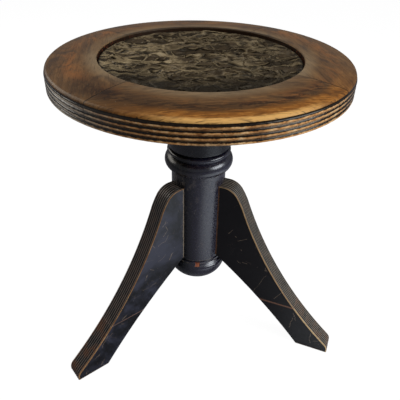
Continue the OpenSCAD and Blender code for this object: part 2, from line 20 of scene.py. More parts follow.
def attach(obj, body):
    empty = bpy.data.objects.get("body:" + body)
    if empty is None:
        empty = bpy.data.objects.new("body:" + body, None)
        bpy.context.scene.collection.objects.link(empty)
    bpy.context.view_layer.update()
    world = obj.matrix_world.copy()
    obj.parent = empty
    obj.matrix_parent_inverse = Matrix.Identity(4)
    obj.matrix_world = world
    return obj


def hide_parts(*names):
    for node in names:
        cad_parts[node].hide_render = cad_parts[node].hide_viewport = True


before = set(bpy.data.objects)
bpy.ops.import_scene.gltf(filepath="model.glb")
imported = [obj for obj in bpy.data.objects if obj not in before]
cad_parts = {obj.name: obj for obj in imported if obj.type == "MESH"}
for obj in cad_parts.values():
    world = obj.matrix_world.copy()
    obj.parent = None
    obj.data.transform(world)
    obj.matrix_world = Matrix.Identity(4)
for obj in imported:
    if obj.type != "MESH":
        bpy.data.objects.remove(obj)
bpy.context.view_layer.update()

log = logging.getLogger("piano_stool")

Colour = tuple[float, float, float]
Value = Union["Wire", float, Sequence[float]]

FRONT = -98.8  # heading from which the stool is seen
JOINT_Z = 0.0712  # height of the glue line between leg and foot
SHAFT_Z = 0.25  # middle of the scuffed stretch of the column's shaft
TORUS_Z = 0.262  # where the column's torus turns under
RIMS = ((0.1275, 0.0014), (0.1315, 0.001))  # the moulding's rubbed rims: height and half width
CHIP = (-97.0, 0.1268)  # heading and height of the chip in the moulding
MILLIMETRE = 0.001


def tone(red: float, green: float, blue: float) -> Colour:
    """A colour as the eye reads it, 0 to 255, in a shader's linear light (the sRGB curve)."""
    shares = (channel / 255.0 for channel in (red, green, blue))
    return tuple(c / 12.92 if c <= 0.04045 else ((c + 0.055) / 1.055) ** 2.4 for c in shares)


# --------------------------------------------------------------------------- shader maths


def maths(operation: str, reflected: bool = False) -> Callable[["Wire", Value], "Wire"]:
    """Makes an operator of Wire that adds a Math node.

    Args:
        operation: the node's operation.
        reflected: whether the other value comes first, as in 1 - mask.
    Returns:
        The operator.
    """
    def apply(self: "Wire", other: Value) -> "Wire":
        """The operation on self and other."""
        pair = {0: other, 1: self} if reflected else {0: self, 1: other}
        return self.bench.node("ShaderNodeMath", {"operation": operation}, pair)
    return apply


class Wire:
    """A value that runs between shader nodes. Python's operators on it add Math nodes."""

    __add__ = __radd__ = maths("ADD")
    __mul__ = __rmul__ = maths("MULTIPLY")
    __sub__, __rsub__ = maths("SUBTRACT"), maths("SUBTRACT", reflected=True)
    __truediv__, __rtruediv__ = maths("DIVIDE"), maths("DIVIDE", reflected=True)
    __pow__, __rpow__ = maths("POWER"), maths("POWER", reflected=True)
    most, least = maths("MAXIMUM"), maths("MINIMUM")

    def __init__(self, bench: "Bench", socket: bpy.types.NodeSocket) -> None:
        """Holds the output socket and the bench that its nodes stand on."""
        self.bench, self.socket = bench, socket

    def __abs__(self) -> "Wire":
        """The size of self."""
        return self.bench.node("ShaderNodeMath", {"operation": "ABSOLUTE"}, {0: self})

    def step(self, low: float, high: float) -> "Wire":
        """A smooth step of self.

        Args:
            low, high: where the step starts and ends. It falls if low is above high.
        Returns:
            0 before low and 1 after high, or the other way round.
        """
        ends = {0: self, 1: min(low, high), 2: max(low, high)}
        ends.update({3: 0.0, 4: 1.0} if low < high else {3: 1.0, 4: 0.0})
        return self.bench.node("ShaderNodeMapRange", {"interpolation_type": "SMOOTHSTEP"}, ends)

    def band(self, middle: float, half: float) -> "Wire":
        """1 where self is at middle, falling smoothly to 0 at half away from it."""
        return abs(self - middle).step(half, 0.0)


class Bench:
    """The node tree of a material or a world, and the one method that stands a node on it."""

    def __init__(self, name: str, world: Optional[bpy.types.World] = None) -> None:
        """Clears the tree of a new material, or of a world if one is given.

        Args:
            name: the material's name.
            world: the world.
        """
        self.owner = world or bpy.data.materials.new(name)
        self.owner.use_nodes = True
        self.tree = self.owner.node_tree
        self.tree.nodes.clear()
        self._object: Optional[Wire] = None

    def node(self, kind: str, settings: Optional[dict] = None,
             inputs: Optional[dict] = None, out: Union[int, str] = 0) -> Wire:
        """Makes any node.

        Args:
            kind: the node's type.
            settings: properties that are set first. "stops" holds a ramp's stops.
            inputs: values or links by the socket's name or number.
            out: name or number of the output that is handed on.
        Returns:
            The chosen output as a Wire.
        """
        made = self.tree.nodes.new(kind)
        for key, value in (settings or {}).items():
            if key == "stops":
                ramp = made.color_ramp
                while len(ramp.elements) < len(value):
                    ramp.elements.new(1.0)
                for element, (place, colour) in zip(ramp.elements, value):
                    element.position, element.color = place, (*colour, 1.0)
            else:
                setattr(made, key, value)
        for key, value in (inputs or {}).items():
            socket = made.inputs[key]
            if isinstance(value, Wire):
                self.tree.links.new(value.socket, socket)
            elif isinstance(value, (tuple, list)) and socket.type == "RGBA":
                socket.default_value = (*value, 1.0)
            else:
                socket.default_value = value
        return Wire(self, made.outputs[out])

    def place(self) -> Wire:
        """The point's place in the object's own metres.

        Returns:
            The place, from one node for the whole tree.
        """
        if self._object is None:
            self._object = self.node("ShaderNodeTexCoord", out="Object")
        return self._object

    def turned(self, about_z: float = 0.0, scale: Sequence[float] = (1.0, 1.0, 1.0),
               shift: Sequence[float] = (0.0, 0.0, 0.0)) -> Wire:
        """The place, turned so that the heading about_z is +X, then scaled and shifted."""
        turned = self.node("ShaderNodeVectorRotate", {"rotation_type": "Z_AXIS"},
                           {"Vector": self.place(), "Angle": math.radians(-about_z)})
        return self.node("ShaderNodeMapping", {"vector_type": "POINT"},
                         {"Vector": turned, "Scale": tuple(scale), "Location": tuple(shift)})

    def part(self, axis: int) -> Wire:
        """One part of the place: 0, 1 or 2."""
        return self.node("ShaderNodeSeparateXYZ", None, {0: self.place()}, out=axis)

    def mark(self, name: str) -> Wire:
        """A number that the mesh carries at each point."""
        return self.node("ShaderNodeAttribute", {"attribute_name": name}, out="Fac")

    def radius(self) -> Wire:
        """Distance from the screw's axis."""
        x, y = self.part(0), self.part(1)
        return (x * x + y * y) ** 0.5

    def along(self, heading: float) -> Wire:
        """Distance from the axis along a heading."""
        a = math.radians(heading)
        return self.part(0) * math.cos(a) + self.part(1) * math.sin(a)

    def facing(self, heading: float) -> Wire:
        """Cosine of the angle round the axis between the point and a heading."""
        return self.along(heading) / self.radius()

    def noise(self, at: Wire, scale: float, detail: float = 4.0, rough: float = 0.55,
              bend: float = 0.0) -> Wire:
        """Cloudy noise from 0 to 1, with scale clouds to a metre, bent by its own pattern."""
        return self.node("ShaderNodeTexNoise", {"noise_dimensions": "3D"},
                         {"Vector": at, "Scale": scale, "Detail": detail,
                          "Roughness": rough, "Distortion": bend}, out="Fac")

    def cells(self, at: Wire, scale: float, feature: str = "F1") -> Wire:
        """Distance to a cell's middle (F1) or edge (DISTANCE_TO_EDGE), scale cells to a metre."""
        return self.node("ShaderNodeTexVoronoi", {"feature": feature},
                         {"Vector": at, "Scale": scale}, out="Distance")

    def blend(self, share: Value, first: Value, second: Value) -> Wire:
        """A colour between the first and the second, by the second's share."""
        return self.node("ShaderNodeMix", {"data_type": "RGBA"},
                         {0: share, 6: first, 7: second}, out=2)

    def layers(self, colour: Value, *coats: tuple[Value, Value]) -> Wire:
        """Lays coats over a colour in turn.

        Args:
            colour: what they lie on.
            coats: for each coat its share and its colour.
        Returns:
            The colour.
        """
        for share, coat in coats:
            colour = self.blend(share, colour, coat)
        return colour

    def ramp(self, value: Wire, *stops: tuple[float, Colour]) -> Wire:
        """Colours a value from 0 to 1 by its stops."""
        return self.node("ShaderNodeValToRGB", {"stops": stops}, {0: value}, out="Color")

    def move(self, operation: str, first: Value, second: Value, out: int = 0) -> Wire:
        """Adds a Vector Math node whose output is a vector (0) or a number (1)."""
        where = "Scale" if operation == "SCALE" else 1
        return self.node("ShaderNodeVectorMath", {"operation": operation},
                         {0: first, where: second}, out=out)

    def strokes(self, x: Wire, y: Wire, marks: Sequence[Sequence[float]]) -> Wire:
        """Short straight scratches.

        A point's distance to a stroke is its distance to the nearest point between the
        stroke's ends, and the stroke shows where that is under half its width.

        Args:
            x, y: the place, in millimetres.
            marks: for each stroke its two ends and its width, in millimetres.
        Returns:
            1 on the strokes and 0 elsewhere.
        """
        at = self.node("ShaderNodeCombineXYZ", None, {0: x, 1: y})
        found: Optional[Wire] = None
        for x0, y0, x1, y1, width in marks:
            way = np.array([x1 - x0, y1 - y0, 0.0])
            off = self.move("SUBTRACT", at, (x0, y0, 0.0))
            share = self.move("DOT_PRODUCT", off, tuple(way / (way @ way)), out=1)
            share = share.most(0.0).least(1.0)
            left = self.move("SUBTRACT", off, self.move("SCALE", tuple(way), share))
            mask = self.move("LENGTH", left, (0.0, 0.0, 0.0), out=1).step(width * 0.6, width * 0.2)
            found = mask if found is None else found.most(mask)
        return found

    def end(self, shader: Wire, kind: str = "ShaderNodeOutputMaterial") -> None:
        """Joins a shader to the tree's output."""
        output = self.tree.nodes.new(kind)
        self.tree.links.new(shader.socket, output.inputs["Surface"])

    def surface(self, height_mm: Wire, **inputs: Value) -> bpy.types.Material:
        """Ends the material in one Principled shader.

        Args:
            height_mm: the relief, in millimetres.
            inputs: the shader's other sockets by name, with _ for a space.
        Returns:
            The material.
        """
        normal = self.node("ShaderNodeBump", None,
                           {"Height": height_mm, "Distance": MILLIMETRE, "Strength": 1.0},
                           out="Normal")
        named = {key.replace("_", " "): value for key, value in inputs.items()}
        self.end(self.node("ShaderNodeBsdfPrincipled", None, {**named, "Normal": normal},
                           out="BSDF"))
        return self.owner


# --------------------------------------------------------------------------- finishes

# Scratches on the legs' sides: from (u, z) to (u, z) and a width, in millimetres
LEFT_MARKS = (
    (65, 214, 70, 206, 1.0), (62, 210, 67, 212, 0.7), (65, 205, 63, 198, 0.8),
    (63, 198, 70, 190, 0.8), (61, 188, 68, 180, 0.8), (68, 180, 78, 176, 0.8),
    (84, 177, 89, 184, 0.8), (53, 152, 61, 143, 1.3), (67, 156, 80, 149, 0.6),
    (88, 138, 93, 142, 0.9), (98, 135, 102, 126, 0.8), (85, 110, 108, 110, 0.5),
    (137, 78, 144, 74, 1.6), (169, 58, 180, 40, 1.2), (160, 57, 166, 54, 1.0),
    (185, 30, 193, 25, 1.0), (183, 11, 185, 6, 1.2), (207, 9, 209, 4, 1.0))
RIGHT_MARKS = (
    (53, 180, 59, 188, 0.8), (64, 178, 65, 177, 1.6), (68, 171, 80, 178, 0.8),
    (73, 156, 74, 155, 1.5), (69, 134, 73, 130, 0.9), (76, 133, 84, 133, 0.9),
    (99, 84, 114, 121, 0.5), (131, 80, 140, 96, 0.9), (110, 134, 114, 128, 0.9),
    (163, 63, 167, 47, 0.9), (160, 30, 163, 52, 1.1), (192, 30, 195, 10, 0.9),
    (200, 17, 207, 20, 0.8))


@dataclass(frozen=True)
class RingPolish:
    """Worn brown polish on a piece of the ring, with its reeds black in the hollows.

    Attributes:
        name: the material's name.
        grain: heading of the wood's grain.
        seed: shifts the figure, so no two pieces match.
        gold: how much of the outer edge is rubbed to bare golden wood, and its painted highlight.
        soot: strength of the dark, mottled band that runs through the worn front.
        rust: strength of the orange streaks.
    """

    name: str
    grain: float
    seed: float
    gold: float
    soot: float
    rust: float

    def top(self, b: Bench, cloud: Wire, pores: Wire) -> tuple[Wire, Wire]:
        """The top and the nosing.

        Args:
            b: the bench.
            cloud: broad stains.
            pores: the grain's pores.
        Returns:
            Colour, and how far the polish is rubbed off.
        """
        r, s = b.radius(), self.seed
        figure = b.noise(b.turned(self.grain, (9, 150, 60), (s, 2 * s, 0)), 1, 8, 0.78, 0.9)
        streak = b.noise(b.turned(self.grain, (38, 190, 90), (2 * s, s, 0)), 1, 6, 0.7, 0.8)
        fleck = b.noise(b.turned(self.grain, (90, 330, 90), (s, 0, s)), 1, 5, 0.72, 0.6)
        haze = b.noise(b.turned(self.grain, (1, 2, 1), (s, 0, s)), 9, 3, 0.5)
        specks = b.cells(b.turned(shift=(s, s, 0)), 95).step(0.14, 0.07)
        dust = b.cells(b.turned(shift=(2 * s, 0, s)), 210).step(0.08, 0.04)
        fray = b.noise(b.place(), 420, 3, 0.6)

        fineness = 0.42 + 0.38 * self.soot
        brown = b.ramp((figure * 0.55 + fleck * 0.45) * fineness + cloud * (1 - fineness),
                       (0.36, tone(58, 38, 20)), (0.5, tone(92, 64, 36)),
                       (0.64, tone(124, 92, 56)))
        rust = (cloud * 0.8 + fleck * 0.2).step(0.46, 0.6) * r.band(0.153, 0.018)
        # pale: a painted sheen, a grey-taupe band towards the recess's edge.
        pale = r.step(0.142, 0.122) * haze.step(0.2, 0.6)
        worn = b.ramp(figure * 0.35 + fleck * 0.65, (0.34, tone(88, 50, 18)),
                      (0.5, tone(132, 82, 32)), (0.66, tone(176, 122, 58)))
        rubbed = (r + (cloud - 0.5) * 0.022 + (streak - 0.5) * 0.014).step(0.154, 0.169)
        rubbed = rubbed * b.facing(FRONT + 22).step(0.5, 0.93) * self.gold
        # bright: a painted highlight on the front of the nosing, over its bare golden wood.
        bright = (r + (fleck - 0.5) * 0.006).step(0.1715, 0.1765)
        bright = bright * b.facing(FRONT + 13).step(0.84, 0.985) * self.gold
        smudge = (streak * 0.4 + cloud * 0.2 + fleck * 0.4).step(0.46, 0.53)
        smudge = smudge * (r + (cloud - 0.5) * 0.014).band(0.1545, 0.0145)
        smudge = smudge * b.facing(FRONT + 8).step(0.15, 0.82) * self.soot
        stain = b.facing(FRONT - 34).step(0.9, 0.985) * r.band(0.158, 0.026)
        stain = stain * (cloud * 0.5 + fleck * 0.5).step(0.4, 0.55)
        # The recess's inner wall: near black as painted shade, flecked with red-brown stain.
        wall = b.part(2).step(0.4232, 0.4224) * r.step(0.1222, 0.1216)
        wall_shade_and_stain = b.blend(fray.step(0.56, 0.64) * 0.7, tone(26, 17, 12), tone(122, 62, 40))
        # Painted shade: a dark band on the top beside the recess, at the back.
        recess_back_shade = (r + (fray - 0.5) * 0.002).step(0.1262, 0.1232)
        recess_back_shade = recess_back_shade * b.facing(FRONT + 180).step(0.2, 0.75)
        body = b.layers(
            brown, (rust * self.rust, tone(142, 82, 34)), (pale * 0.7, tone(132, 113, 86)),
            (rubbed, worn), (bright * 0.75, tone(222, 172, 102)), (smudge, tone(32, 18, 9)),
            (stain * 0.9, tone(36, 22, 12)), (cloud.step(0.46, 0.36) * 0.4, tone(52, 34, 19)),
            (pores.step(0.54, 0.66) * (0.28 + 0.34 * self.soot), tone(40, 26, 15)),
            (specks * cloud.step(0.5, 0.6) * 0.8, tone(28, 19, 12)),
            (dust * haze.step(0.45, 0.6) * 0.5, tone(190, 176, 150)),
            (wall, wall_shade_and_stain), (recess_back_shade * 0.85, tone(36, 24, 16)))
        return body, rubbed

    def reeds(self, b: Bench, chafe: Wire) -> tuple[Wire, Wire]:
        """The reeded band: black, and rubbed to bare wood along the lower side of each crest.
        Towards the left its pale lines are painted highlights.

        Args:
            b: the bench.
            chafe: fine noise that frays the wear.
        Returns:
            The colour, and its pale lines: bare wood, and painted highlights at the left.
        """
        along = b.noise(b.turned(0, (1, 1, 0.3), (self.seed, 0, 0)), 42, 4, 0.6)
        front, side = b.facing(FRONT + 6).step(0.25, 0.92), b.facing(FRONT - 75)
        left = side.step(0.75, 0.96)
        black = b.ramp(chafe, (0.3, tone(13, 9, 7)), (0.7, tone(36, 26, 18)))
        bare = b.ramp(chafe * 0.6 + along * 0.4, (0.36, tone(146, 90, 46)),
                      (0.48, tone(216, 156, 94)), (0.62, tone(250, 212, 158)))
        # Towards the left the bare lines turn near white: painted highlights on the reeds.
        bare = b.blend(side.step(0.6, 0.95), bare, tone(232, 218, 192))
        thin = b.facing(FRONT + 30).step(0.92, 0.6) * (1 - left) * 0.22
        line = ((b.mark("across") + (chafe - 0.5) * 0.3).band(0.6, 0.34) - thin).step(0.1, 0.45)
        line = line * (along.step(0.3, 0.42) * 0.2 + chafe.step(0.3, 0.5) * 0.1 + 0.7)
        # Lines: worn at the front, painted highlights at the left.
        line = line * front.most(left).most(0.45)
        low = b.mark("low") + (chafe - 0.5) * 0.6 + (along - 0.5) * 0.5
        bald = line.most(low.step(0.5, 0.85) * (front * 0.5 + 0.5))
        return b.blend(bald, black, bare), bald

    def paint(self) -> bpy.types.Material:
        """Builds the material.

        Returns:
            The finished material.
        """
        b, s = Bench(self.name), self.seed
        pores = b.noise(b.turned(self.grain, (50, 800, 300), (0, s, s)), 1, 2, 0.6)
        cloud = b.noise(b.turned(self.grain, (1, 2.4, 1), (s, 0, s)), 17, 6, 0.64, 1.2)
        chafe = b.noise(b.turned(0, (1, 1, 2), (0, 0, s)), 170, 5, 0.68)
        reeded, split = b.mark("reeded"), b.mark("split")
        body, rubbed = self.top(b, cloud, pores)
        banded, bald = self.reeds(b, chafe)
        splinter = b.ramp(chafe, (0.3, tone(140, 90, 46)), (0.7, tone(232, 192, 140)))
        seam = (b.mark("seam") + (chafe - 0.5) * 0.0008).step(0.0011, 0.0003)
        colour = b.layers(body, (reeded, banded),
                          ((split + (chafe - 0.5) * 0.5).step(0.2, 0.5), splinter),
                          (seam * 0.8, tone(26, 17, 11)))
        rough = 0.36 + (cloud - 0.5) * 0.3 + (pores - 0.5) * 0.12 + rubbed * 0.12 + split * 0.3
        rough = rough * (1 - reeded) + (0.2 + bald * 0.3 + (chafe - 0.5) * 0.15) * reeded
        height = (pores * 0.06 - pores.step(0.56, 0.68) * 0.04 + cloud * 0.05 - seam * 0.12
                  + chafe * reeded * 0.04 + split * chafe * 0.5)
        return b.surface(height, Base_Color=colour, Roughness=rough, Specular_IOR_Level=0.12,
                         Specular_Tint=(1.0, 0.86, 0.66), Coat_Roughness=0.24,
                         Coat_Weight=(1 - rubbed * 0.8) * (0.06 + reeded * 0.94))


@dataclass(frozen=True)
class Ebonised:
    """Black polish on turned and flat wood: scuffed, scratched and bare at the edges.

    Attributes:
        name: the material's name.
        deep: the polish at its blackest.
        dust_and_sheen_tone: the polish where it has gone slate grey.
        dust: how much of it has; the grey is partly dust and partly a painted sheen.
        gloss: the roughness.
        shine: strength of the mirror-like part.
        scratch: how many fine scratches show, from 0 to 1.
        seed: shifts the patterns.
        ripple: height of the polish's fine unevenness, in millimetres.
    """

    name: str
    deep: Colour = tone(13, 13, 15)
    dust_and_sheen_tone: Colour = tone(48, 50, 60)
    dust: float = 0.35
    gloss: float = 0.34
    shine: float = 0.5
    scratch: float = 0.5
    seed: float = 0.0
    ripple: float = 0.03

    def coat(self, b: Bench) -> tuple[Wire, Wire, Wire]:
        """The polish itself.

        Args:
            b: the bench.
        Returns:
            Colour, roughness and height in millimetres.
        """
        at = b.turned(shift=(self.seed, self.seed, self.seed))
        cloud, fine = b.noise(at, 22, 6, 0.62, 0.8), b.noise(at, 240, 4, 0.6)
        bend = b.node("ShaderNodeTexNoise", None, {"Vector": at, "Scale": 16.0, "Detail": 2.0},
                      out="Color")
        lines = b.cells(b.move("ADD", at, bend), 9, "DISTANCE_TO_EDGE")
        some = b.noise(at, 38, 3, 0.6).step(0.6 - 0.12 * self.scratch, 0.7)
        cut = lines.step(0.006, 0.0015) * some * self.scratch
        nick = b.cells(at, 120).step(0.08, 0.035) * b.noise(at, 30, 2).step(0.5, 0.6)
        # The slate grey over the black is partly dust and partly a painted sheen.
        colour = b.layers(self.deep, (cloud.step(0.38, 0.68) * self.dust, self.dust_and_sheen_tone),
                          (fine.step(0.5, 0.72) * 0.25, self.dust_and_sheen_tone),
                          (cut, tone(150, 128, 108)), (nick * self.scratch, tone(152, 138, 122)))
        rough = self.gloss + (cloud - 0.5) * 0.25 + fine.step(0.45, 0.7) * 0.12
        return colour, rough, fine * self.ripple + cloud * 0.05 - cut * 0.05 - nick * 0.05

    def paint(self) -> bpy.types.Material:
        """Builds the material.

        Returns:
            The finished material.
        """
        b = Bench(self.name)
        colour, rough, height = self.coat(b)
        return b.surface(height, Base_Color=colour, Roughness=rough,
                         Specular_IOR_Level=self.shine)


@dataclass(frozen=True)
class ColumnPolish(Ebonised):
    """Black polish on the turned column, crazed under the torus and chipped at the foot."""

    def paint(self) -> bpy.types.Material:
        """Builds the material.

        Returns:
            The finished material.
        """
        b = Bench(self.name)
        colour, rough, height = self.coat(b)
        z, at = b.part(2), b.turned(scale=(1, 1, 0.6))
        frayed = b.noise(at, 200, 4, 0.65)
        scuff = b.noise(at, 150, 6, 0.72).step(0.5, 0.64) * z.band(SHAFT_Z, 0.055)
        scuff = scuff * (0.4 + b.facing(FRONT - 35).step(0.6, 0.98) * 0.6)
        craze = b.cells(b.place(), 150, "DISTANCE_TO_EDGE").step(0.05, 0.015)
        craze = craze * z.band(TORUS_Z, 0.022) * b.noise(at, 60, 3).step(0.5, 0.6)
        rims = sum(z.band(*rim) for rim in RIMS) * frayed.step(0.42, 0.58)
        chip = ((b.facing(CHIP[0]) - 0.9955) * 220 + (frayed - 0.5) * 1.4).step(0.0, 0.4)
        chip = chip * (z + (frayed - 0.5) * 0.004).band(CHIP[1], 0.0046).step(0.1, 0.5)
        raw = b.ramp(frayed, (0.35, tone(122, 56, 28)), (0.65, tone(196, 112, 68)))
        # A coat on the front-right of the column; its bluish tint in the colour is a painted
        # highlight.
        lacquer_and_sheen = b.facing(FRONT + 30).step(0.5, 0.92) * (1 - chip)
        colour = b.layers(colour, (scuff * 0.6, tone(112, 102, 92)),
                          (craze * 0.6, tone(120, 112, 104)),
                          (rims.least(1.0) * 0.6, tone(138, 124, 104)), (chip, raw),
                          # Painted highlight: a bluish tint on the front-right.
                          (lacquer_and_sheen * 0.22, tone(56, 50, 84)))
        return b.surface(height - chip * 0.5 - craze * 0.06, Base_Color=colour,
                         Roughness=rough + chip * 0.3 + scuff * 0.15, Coat_Weight=lacquer_and_sheen,
                         Specular_IOR_Level=self.shine, Coat_Roughness=self.gloss)


@dataclass(frozen=True)
class LegPolish(Ebonised):
    """Black polish on a leg or foot, rubbed to bare wood along the arrises.

    Attributes:
        bare: how wide the bare edge is.
        heading: which way the leg runs, for its marks.
        marks: scratches on its side, each from (u, z) to (u, z) with a width, in millimetres.
        joint: colour of the glue joint between leg and foot.
        joint_half: half the height of its line.
        warmth: how brown the reeds are.
        crests: colour of the reeds' rubbed crests.
        pale: how far the bare edge is bleached to cream.
        glue: colour of the glue squeezed out along the column.
    """

    bare: float = 0.0009
    heading: float = 0.0
    marks: tuple[tuple[float, ...], ...] = ()
    joint: Colour = tone(150, 116, 100)
    joint_half: float = 0.0009
    warmth: float = 0.15
    crests: Colour = tone(112, 102, 94)
    pale: float = 0.0
    glue: Colour = tone(158, 140, 118)

    def paint(self) -> bpy.types.Material:
        """Builds the material.

        Returns:
            The finished material.
        """
        b = Bench(self.name)
        colour, rough, height = self.coat(b)
        at, z = b.turned(shift=(self.seed, 0, self.seed)), b.part(2)
        grit, wide = b.noise(at, 420, 4, 0.65) - 0.5, b.noise(at, 70, 4, 0.6)
        drift, reeded = wide - 0.5, b.mark("reeded")
        if self.marks:
            drawn = b.strokes(b.along(self.heading) * 1000 + grit * 3 + drift * 9,
                              z * 1000 + drift * 7, self.marks) * (0.85 + grit)
            colour = b.blend(drawn.least(1.0) * 0.6 * (1 - reeded), colour, tone(158, 138, 118))
        rub = (b.mark("crest") + drift * 0.3 + grit * 0.08).step(0.78, 1.0)
        reeds = b.layers(tone(9, 8, 8), (rub * 0.75, self.crests),
                         (self.warmth * wide.step(0.42, 0.62), tone(92, 56, 30)))
        worn = (b.mark("edge") + drift * 0.0018 + grit * 0.0008).step(self.bare, self.bare * 0.4)
        tan = b.ramp(wide * 0.6 + grit * 0.4 + 0.2, (0.36, tone(104, 68, 40)),
                     (0.48, tone(150, 106, 64)), (0.6, tone(196, 154, 108)))
        tan = b.blend(self.pale, tan, tone(226, 196, 146))
        line = (z + drift * 0.0014).band(JOINT_Z, self.joint_half) * wide.step(0.25, 0.42)
        glue = (b.radius() + grit * 0.003 + drift * 0.002).step(0.0388, 0.0379)
        floor = (z + drift * 0.003).step(0.0022, 0.0004)
        colour = b.layers(colour, (reeded, reeds), (worn * 0.92, tan),
                          (line * (0.85 - reeded * 0.65), self.joint),
                          (glue * (1 - reeded) * 0.85, self.glue),
                          (floor * 0.6, tone(120, 92, 64)))
        return b.surface(height + worn * -0.08 + grit * 0.02, Base_Color=colour,
                         Roughness=rough + worn * 0.2, Specular_IOR_Level=self.shine)


@dataclass(frozen=True)
class CreasedLeather:
    """Old greyish-olive leather: polished on the folds, with painted highlights and painted shade.

    Attributes:
        name: the material's name.
        creases: sheets of fine ridges: heading, ridges to a metre, width and strength.
    """

    name: str = "creased_leather"
    creases: tuple[tuple[float, ...], ...] = (
        (-8.8, 24, 0.03, 1.0), (16, 27, 0.026, 0.8), (-30, 24, 0.022, 0.8), (-4, 52, 0.05, 0.7))

    def wrinkles(self, b: Bench) -> tuple[Wire, Wire]:
        """Ridges where a noise crosses its middle, each with a crease beside it.

        Args:
            b: the bench.
        Returns:
            The ridges and the creases, each 1 at its strongest.
        """
        ridges, creases = [], []
        for heading, scale, width, depth in self.creases:
            level = b.noise(b.turned(heading, (0.3, 1.5, 1), (heading * 0.01, scale * 0.01, 0)),
                            scale, 2.4, 0.42, 0.25)
            ridges.append(level.band(0.5, width) * depth)
            creases.append(level.band(0.5 + width * 1.1, width) * depth)
        return reduce(Wire.most, ridges), reduce(Wire.most, creases)

    def paint(self) -> bpy.types.Material:
        """Builds the material.

        Returns:
            The finished material.
        """
        b = Bench(self.name)
        ridges, creases = self.wrinkles(b)
        across, lying = self.creases[0][0], (0.6, 1.4, 1)
        swirl = b.noise(b.turned(across, (0.5, 1.8, 1)), 30, 7, 0.68, 1.0)
        fine = b.noise(b.turned(across, lying), 170, 6, 0.7, 1.2)
        crack = b.cells(b.turned(across, lying, (0.02, 0, 0)), 105, "DISTANCE_TO_EDGE")
        pebble = b.cells(b.place(), 560, "DISTANCE_TO_EDGE")
        stray, fold, r = fine - 0.5, b.mark("fold"), b.radius()
        # left brightens the painted highlights on the ridges; front marks the painted shade along
        # the front.
        left = b.facing(FRONT - 80).step(0.1, 0.9)
        front = b.facing(FRONT).step(0.2, 0.9) * (r + stray * 0.02).step(0.06, 0.106)
        # Painted highlights on the ridges.
        ridge_highlight = ridges * (fine.step(0.36, 0.56) * 0.4 + 0.6) * (0.55 + left * 0.4)
        colour = b.layers(
            b.blend(swirl.step(0.3, 0.7), tone(42, 32, 21), tone(62, 50, 35)),
            # High folds lighter, partly rubbed and partly painted light; low folds darker as
            # painted shade.
            ((fold + stray * 0.3).step(0.62, 0.95) * 0.4, tone(104, 88, 64)),
            ((fold + stray * 0.5).step(0.54, 0.3) * 0.55, tone(13, 9, 5)),
            # Painted shade in the creases, and painted highlights on the ridges.
            (creases * 0.95, tone(7, 4, 2)), (ridge_highlight, tone(142, 124, 94)),
            # Painted shade along the front, and at the edge where the leather turns down.
            (front * 0.92, tone(11, 6, 3)),
            ((r + stray * 0.004).step(0.1165, 0.1195) * 0.8, tone(18, 13, 10)))
        height = (pebble.step(0.0, 0.25) * 0.05 + fine * 0.4 + swirl * 0.6
                  + crack.step(0.0, 0.35) * 0.15 + ridges * 1.3 - creases * 1.3)
        return b.surface(height, Base_Color=colour, Specular_IOR_Level=0.24,
                         Roughness=0.5 - ridges * 0.12 + stray * 0.25 + front * 0.15,
                         Specular_Tint=(1.0, 0.84, 0.6))


@dataclass(frozen=True)
class BareWood:
    """Unpolished wood in hidden places, with grain and the stains of age.

    Attributes:
        name: the material's name.
        light, dark: its colours.
        grain: heading of the grain.
    """

    name: str
    light: Colour = tone(158, 122, 82)
    dark: Colour = tone(98, 70, 44)
    grain: float = 0.0

    def paint(self) -> bpy.types.Material:
        """Builds the material.

        Returns:
            The finished material.
        """
        b = Bench(self.name)
        grain = b.noise(b.turned(self.grain, (5, 110, 60)), 1, 6, 0.62, 0.8)
        fibre = b.noise(b.turned(self.grain, (40, 900, 900)), 1, 3, 0.6)
        stain = b.noise(b.place(), 14, 5, 0.6).step(0.48, 0.75)
        colour = b.layers(b.ramp(grain, (0.3, self.dark), (0.7, self.light)),
                          (stain * 0.5, tone(70, 52, 36)), (fibre.step(0.6, 0.75) * 0.4, self.dark))
        return b.surface(fibre * 0.08 + grain * 0.06, Base_Color=colour,
                         Roughness=0.68 + (fibre - 0.5) * 0.2, Specular_IOR_Level=0.25)


@dataclass(frozen=True)
class OldIron:
    """Dark iron with grease, bright rubs and specks of rust.

    Attributes:
        name: the material's name.
        metal: the colour of the metal.
        grease: how much of it is under black grease.
        gloss: its roughness.
    """

    name: str
    metal: Colour = tone(104, 100, 96)
    grease: float = 0.5
    gloss: float = 0.42

    def paint(self) -> bpy.types.Material:
        """Builds the material.

        Returns:
            The finished material.
        """
        b = Bench(self.name)
        cloud, grit = b.noise(b.place(), 60, 6, 0.62, 0.6), b.noise(b.place(), 700, 3, 0.6)
        rust = (cloud * 0.5 + grit * 0.5).step(0.56, 0.66)
        colour = b.layers(self.metal, (cloud.step(0.4, 0.62) * self.grease, tone(30, 26, 23)),
                          (rust * 0.6, tone(98, 56, 34)))
        return b.surface(grit * 0.04 + rust * 0.05, Base_Color=colour, Metallic=1 - rust * 0.8,
                         Roughness=self.gloss + (cloud - 0.5) * 0.3 + rust * 0.3)


@dataclass(frozen=True)
class Felt:
    """Matted horsehair and felt under the leather.

    Attributes:
        name: the material's name.
    """

    name: str = "stuffing"

    def paint(self) -> bpy.types.Material:
        """Builds the material.

        Returns:
            The finished material.
        """
        b = Bench(self.name)
        hair = b.noise(b.turned(20, (1, 6, 1)), 180, 5, 0.7, 2.0)
        colour = b.ramp(hair, (0.3, tone(84, 72, 54)), (0.7, tone(150, 134, 106)))
        return b.surface(hair * 0.4, Base_Color=colour, Roughness=0.95, Specular_IOR_Level=0.1)


# --------------------------------------------------------------------------- mesh making


